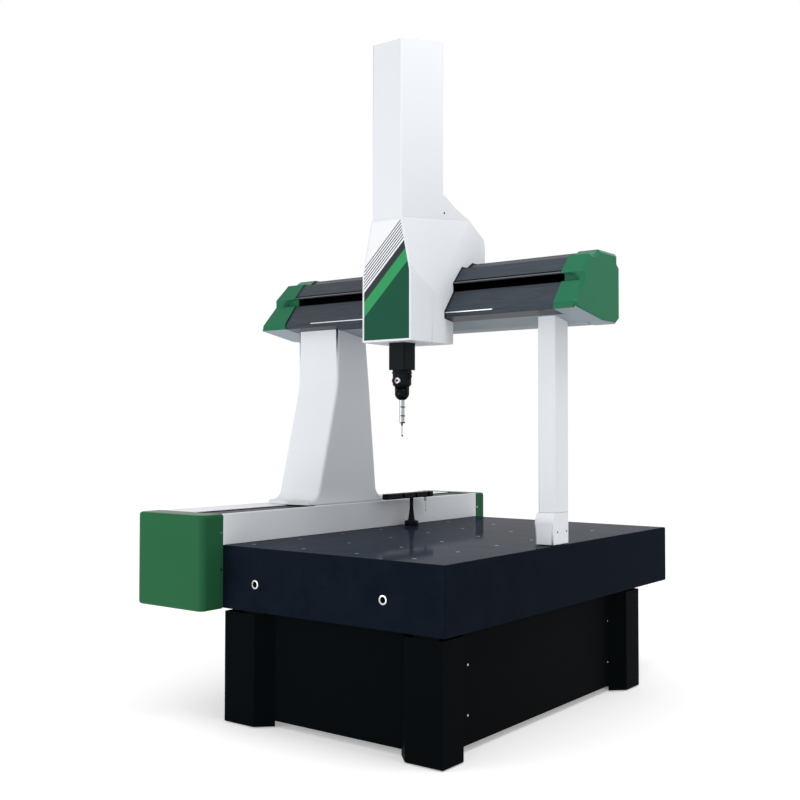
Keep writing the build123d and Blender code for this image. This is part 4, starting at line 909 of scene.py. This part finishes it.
class MEASURE_OT_livery(Operator):
    """Lays the plain stripes and fields on the housing's front facet"""
    bl_idname = "measure.livery"
    bl_label = "Livery"

    def execute(self, context):
        look = context.scene.machine_look
        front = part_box("carriage_housing")[0].y
        middle = middle_of("carriage_housing").x
        piece = merged_copy("carriage_housing", "livery_panel")
        select_parts(piece, "FACE", lambda face: (face.normal.y > -0.999
                                                  or face.calc_center_median().y > front + 0.5 * MM))
        bpy.ops.mesh.delete(type="FACE")
        bpy.ops.mesh.select_all(action="SELECT")
        bpy.ops.mesh.dissolve_limited(angle_limit=radians(FACET_FLAT_ANGLE))
        bpy.ops.mesh.select_all(action="SELECT")
        bpy.ops.mesh.inset(thickness=look.livery_border * MM, depth=0)
        bpy.ops.mesh.select_all(action="INVERT")
        bpy.ops.mesh.delete(type="FACE")
        slope = look.stripe_slope
        across = Vector((-slope, 0, 1)).normalized()
        stripes = [rise for stripe in thin_stripes(look) for rise in stripe]
        for rise in [GREY_TOP, LIGHT_TOP, GREEN_TOP, *stripes]:
            bpy.ops.mesh.select_all(action="SELECT")
            bpy.ops.mesh.bisect(plane_co=(middle, front, rise * MM), plane_no=across)
        leave_edit()
        piece.data.materials.clear()
        for finish in ("livery white", "livery grey", "livery light", "livery green"):
            piece.data.materials.append(materials[finish])
        for polygon in piece.data.polygons:
            rise = (polygon.center.z - slope * (polygon.center.x - middle)) / MM
            polygon.material_index = livery_field(look, rise)
        edit_all(piece)
        bpy.ops.mesh.extrude_region_move(TRANSFORM_OT_translate={"value": (0, -LIVERY_THICKNESS * MM, 0)})
        bpy.ops.mesh.select_all(action="SELECT")
        bpy.ops.mesh.normals_make_consistent(inside=False)
        leave_edit()
        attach(piece, "carriage")
        return {"FINISHED"}


# Turned pieces and screws
class MEASURE_OT_bushes(Operator):
    """Turns the lifting bushes with their chamfered rim and the thread in their bore, and paints the bore
    black as shade in the holes
    """
    bl_idname = "measure.bushes"
    bl_label = "Lifting bushes"

    def execute(self, context):
        low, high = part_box("lifting_bushes")
        radius = (high.z - low.z) / 2 / MM
        bore = radius * BUSH_BORE
        outline = [(bore + 1.5, BUSH_LENGTH), (radius, BUSH_LENGTH), (radius, 1.0), (radius - 1.0, 0.2),
                   (bore + 1.6, -0.4)]
        depth = BUSH_THREAD_START
        for _ in range(BUSH_THREADS):
            outline += [(bore, depth), (bore + BUSH_THREAD_DEPTH, depth + BUSH_THREAD_PITCH / 2)]
            depth += BUSH_THREAD_PITCH
        outline += [(bore, BUSH_BORE_DEPTH), (0, BUSH_BORE_DEPTH)]
        centres = [Vector((x, low.y, (low.z + high.z) / 2))
                   for x in (low.x + radius * MM, high.x - radius * MM)]
        piece = joined([turned("bush", centre, (0, 1, 0), outline) for centre in centres],
                       "lifting_bush_rings")
        smooth(piece, THREAD_SMOOTH)
        finish_piece(piece, "base", "steel", "lifting_bushes")
        # The bore's faces take the black finish: painted shade inside the holes
        piece.data.materials.append(materials["black"])
        for polygon in piece.data.polygons:
            offset = min((polygon.center.xz - centre.xz).length for centre in centres)
            if offset < (bore + 1.3) * MM and polygon.center.y > low.y + 0.4 * MM:
                polygon.material_index = 1
        return {"FINISHED"}


class MEASURE_OT_rack_post(Operator):
    """Turns the rack's post with its tapered neck and its bevelled foot"""
    bl_idname = "measure.rack_post"
    bl_label = "Rack post"

    def execute(self, context):
        low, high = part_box("rack_post")
        foot = (high.x - low.x) / 2 / MM
        height = (high.z - low.z) / MM
        outline = [(foot - 1.0, 0.0), (foot, 1.0), (foot, 20.0), (foot - 5.0, 25.0), (foot * 0.55, 27.0),
                   (foot * 0.48, 31.0), (foot * 0.3, height * 0.55), (foot * 0.27, height * 0.62),
                   (foot * 0.27, height)]
        centre = (*middle_of("rack_post").xy, low.z)
        post = turned("rack_post_skin", centre, (0, 0, 1), outline)
        finish_piece(post, "base", "black", "rack_post")
        return {"FINISHED"}


def socket_screw(centre, axis, radius, height):
    """A round screw head with a bevelled rim and a round socket."""
    bpy.ops.mesh.primitive_cylinder_add(vertices=24, radius=radius, depth=height, end_fill_type="NGON")
    piece = bpy.context.object
    select_parts(piece, "FACE", lambda face: face.normal.z > 0.9)
    bpy.ops.mesh.bevel(offset=height * SCREW_BEVEL, segments=2, affect="EDGES", clamp_overlap=True)
    leave_edit()
    select_parts(piece, "FACE", lambda face: face.normal.z > 0.99)
    bpy.ops.mesh.inset(thickness=radius * SOCKET_RING, depth=0)
    bpy.ops.mesh.inset(thickness=radius * SOCKET_SLOPE, depth=-height * SOCKET_DEPTH)
    leave_edit()
    settle_along(piece, "head", centre, axis)
    return smooth(piece, PLAIN_SMOOTH)


def islands(node):
    """The two corners of the box of each separate solid of a CAD node, in order of place."""
    piece = merged_copy(node, "loose_parts")
    mesh = bmesh.new()
    mesh.from_mesh(piece.data)
    left = set(mesh.verts)
    found = []
    while left:
        stack = [left.pop()]
        points = []
        while stack:
            vertex = stack.pop()
            points.append(vertex.co.copy())
            for edge in vertex.link_edges:
                other = edge.other_vert(vertex)
                if other in left:
                    left.remove(other)
                    stack.append(other)
        found.append(tuple(Vector(pick(point[axis] for point in points) for axis in range(3))
                           for pick in (min, max)))
    mesh.free()
    bpy.data.objects.remove(piece)
    return sorted(found, key=lambda pair: tuple(round(value, 5) for value in pair[0]))


def screw_side(node, thin, centre):
    """Which way a screw's head looks: away from the piece that it holds."""
    middle = (Vector(cad_bounds[0]) + Vector(cad_bounds[1])) / 2
    if node == "tower_screws":
        middle = middle_of("tower_cover")
    if node == "bridge_screws" and thin == 0:
        middle = middle_of("leg_shoe")
    if node == "bridge_screws" and thin == 2:
        middle = middle_of("beam")
    return 1 if centre[thin] > middle[thin] else -1


class MEASURE_OT_screws(Operator):
    """Gives every cover screw a rounded head with a round socket"""
    bl_idname = "measure.screws"
    bl_label = "Cover screws"

    def execute(self, context):
        for node, body, finish, slot in SCREW_SETS:
            heads = []
            for low, high in islands(node):
                size = high - low
                centre = (low + high) / 2
                thin = min(range(3), key=lambda axis: size[axis])
                axis = [0, 0, 0]
                axis[thin] = screw_side(node, thin, centre)
                heads.append(socket_screw(centre, axis, max(size) / 2, size[thin]))
            finish_piece(joined(heads, node + "_heads"), body, finish, node)
        return {"FINISHED"}


# Probe head
def build_window_and_knob(axis_y):
    """Sets the window with its ring into the head's front and the knob into its side."""
    low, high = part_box("head_body")
    flange_z = high.z - HEAD_FLANGE * MM
    window = ((low.x + high.x) / 2 + WINDOW_SHIFT * MM, low.y + WINDOW_PROUD * MM,
              flange_z - WINDOW_DROP * MM)
    ring = turned("window_ring", window, (0, -1, 0), RING_OUTLINE)
    finish_piece(ring, "head", "probe")
    lens = turned("window_lens", window, (0, -1, 0), LENS_OUTLINE)
    finish_piece(lens, "head", "lamp")
    knob = turned("head_knob", (high.x - KNOB_SEAT * MM, axis_y, flange_z - KNOB_DROP * MM), (1, 0, 0),
                  KNOB_OUTLINE, steps=36)
    finish_piece(knob, "head", "black")


def build_collars(centre_x, axis_y):
    """Sets the dark collars round the probe."""
    low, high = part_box("probe_body")
    radius = (high.x - low.x) / 2 / MM
    outline = [(radius + over, height) for over, height in COLLAR_OUTLINE]
    for number, share in enumerate(COLLAR_SHARES):
        z = high.z + (low.z - high.z) * share
        collar = turned(f"probe_collar_{number + 1}", (centre_x, axis_y, z), (0, 0, 1), outline)
        finish_piece(collar, "wrist", "ball black")


def build_tip(centre_x, axis_y):
    """Puts the ruby ball on the stylus."""
    outline = [(0, -TIP_RADIUS)]
    ball = TIP_RADIUS * TIP_SKIN
    for angle in range(TIP_STEP - 90, 90, TIP_STEP):
        outline.append((ball * cos(radians(angle)), ball * sin(radians(angle))))
    outline.append((0, TIP_RADIUS))
    centre = (centre_x, axis_y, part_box("stylus")[0].z + TIP_RADIUS * MM)
    tip = turned("stylus_ruby", centre, (0, 0, 1), outline, steps=32)
    finish_piece(tip, "stylus", "ruby")


class MEASURE_OT_probe_head(Operator):
    """Adds the head's window and knob, the probe's collars and the ruby tip"""
    bl_idname = "measure.probe_head"
    bl_label = "Probe head"

    def execute(self, context):
        centre_x = middle_of("head_body").x
        axis_y = middle_of("head_ball").y
        build_window_and_knob(axis_y)
        build_collars(centre_x, axis_y)
        build_tip(centre_x, axis_y)
        return {"FINISHED"}


# Stage
def seen_as_white(tree):
    """1 for rays from the camera, in gloss and through glass, which see plain white, and 0 for others."""
    path = add_node(tree, "ShaderNodeLightPath").outputs
    seen = maths(tree, "MAXIMUM", path["Is Camera Ray"], path["Is Glossy Ray"])
    return maths(tree, "MAXIMUM", seen, path["Is Transmission Ray"])


def build_floor(stage):
    """A wide pale floor that keeps the machine's shadow."""
    bpy.ops.mesh.primitive_plane_add(size=stage.floor_size, location=(0, 0, 0))
    floor = bpy.context.object
    floor.name = "studio_floor"
    material, tree, shader = new_material("Pale floor")
    feed_inputs(tree, shader, Base_Color=(FLOOR_SHADE, FLOOR_SHADE, FLOOR_SHADE, 1), Roughness=0.9,
                Specular_IOR_Level=0.1, Emission_Color=(1, 1, 1, 1),
                Emission_Strength=maths(tree, "MULTIPLY", seen_as_white(tree), FLOOR_LIFT))
    floor.data.materials.append(material)


def build_world(stage):
    """Even light from all round, seen as white."""
    world = bpy.data.worlds.new("Studio")
    bpy.context.scene.world = world
    world.use_nodes = True
    tree = world.node_tree
    level = add_node(tree, "ShaderNodeMapRange", Value=seen_as_white(tree), To_Min=stage.world_strength,
                     To_Max=1.0)
    feed_inputs(tree, tree.nodes["Background"], Color=(1, 1, 1, 1), Strength=level.outputs["Result"])


def build_lights(stage):
    """A large key and a low light from the front left, and a fill from high on the right."""
    for name, place, target, size, power in LAMPS:
        data = bpy.data.lights.new(name, "AREA")
        data.size = size
        data.energy = getattr(stage, power)
        lamp = bpy.data.objects.new(name, data)
        bpy.context.scene.collection.objects.link(lamp)
        lamp.location = place
        lamp.rotation_euler = (Vector(target) - Vector(place)).to_track_quat("-Z", "Y").to_euler()


def build_camera(stage):
    """The camera where the photograph was taken."""
    data = bpy.data.cameras.new("camera")
    data.lens = stage.lens
    data.sensor_width = SENSOR_WIDTH
    camera = bpy.data.objects.new("camera", data)
    bpy.context.scene.collection.objects.link(camera)
    pitch, roll, yaw = stage.camera_turn
    camera.location = stage.camera_place
    camera.rotation_euler = (radians(90 + pitch), radians(roll), radians(yaw))
    bpy.context.scene.camera = camera


class MEASURE_OT_stage(Operator):
    """Adds the floor, the lights, the even surroundings and the camera"""
    bl_idname = "measure.stage"
    bl_label = "Stage"

    def execute(self, context):
        deselect()
        stage = context.scene.machine_stage
        build_floor(stage)
        build_world(stage)
        build_lights(stage)
        build_camera(stage)
        return {"FINISHED"}


operators = [MEASURE_OT_finishes, MEASURE_OT_housing, MEASURE_OT_bridge_legs, MEASURE_OT_guide_covers,
             MEASURE_OT_end_caps, MEASURE_OT_beam_covers, MEASURE_OT_stand_covers, MEASURE_OT_ram_cover,
             MEASURE_OT_livery, MEASURE_OT_bushes, MEASURE_OT_rack_post, MEASURE_OT_screws,
             MEASURE_OT_probe_head, MEASURE_OT_stage]


class MEASURE_PT_panel(Panel):
    """Lists the parts of the machine's dressing"""
    bl_label = "Measuring machine"
    bl_idname = "MEASURE_PT_panel"
    bl_space_type = "VIEW_3D"
    bl_region_type = "UI"
    bl_category = "Measuring machine"

    def draw(self, context):
        for operator in operators:
            self.layout.operator(operator.bl_idname)
        for settings in (context.scene.machine_look, context.scene.machine_stage):
            box = self.layout.box()
            for key in settings.__annotations__:
                box.prop(settings, key)


classes = [MachineLook, MachineStage, *operators, MEASURE_PT_panel]


def register():
    """Registers the classes and their settings."""
    for item in classes:
        bpy.utils.register_class(item)
    bpy.types.Scene.machine_look = PointerProperty(type=MachineLook)
    bpy.types.Scene.machine_stage = PointerProperty(type=MachineStage)


def unregister():
    """Takes the settings and classes away again."""
    del bpy.types.Scene.machine_stage
    del bpy.types.Scene.machine_look
    for item in reversed(classes):
        bpy.utils.unregister_class(item)


def main():
    """Dresses the machine."""
    register()
    bpy.context.scene.view_settings.view_transform = "Standard"
    bpy.ops.measure.finishes()
    bpy.ops.measure.housing()
    bpy.ops.measure.bridge_legs()
    bpy.ops.measure.guide_covers()
    bpy.ops.measure.end_caps()
    bpy.ops.measure.beam_covers()
    bpy.ops.measure.stand_covers()
    bpy.ops.measure.ram_cover()
    bpy.ops.measure.livery()
    bpy.ops.measure.bushes()
    bpy.ops.measure.rack_post()
    bpy.ops.measure.screws()
    bpy.ops.measure.probe_head()
    bpy.ops.measure.stage()


if __name__ == "__main__":
    main()
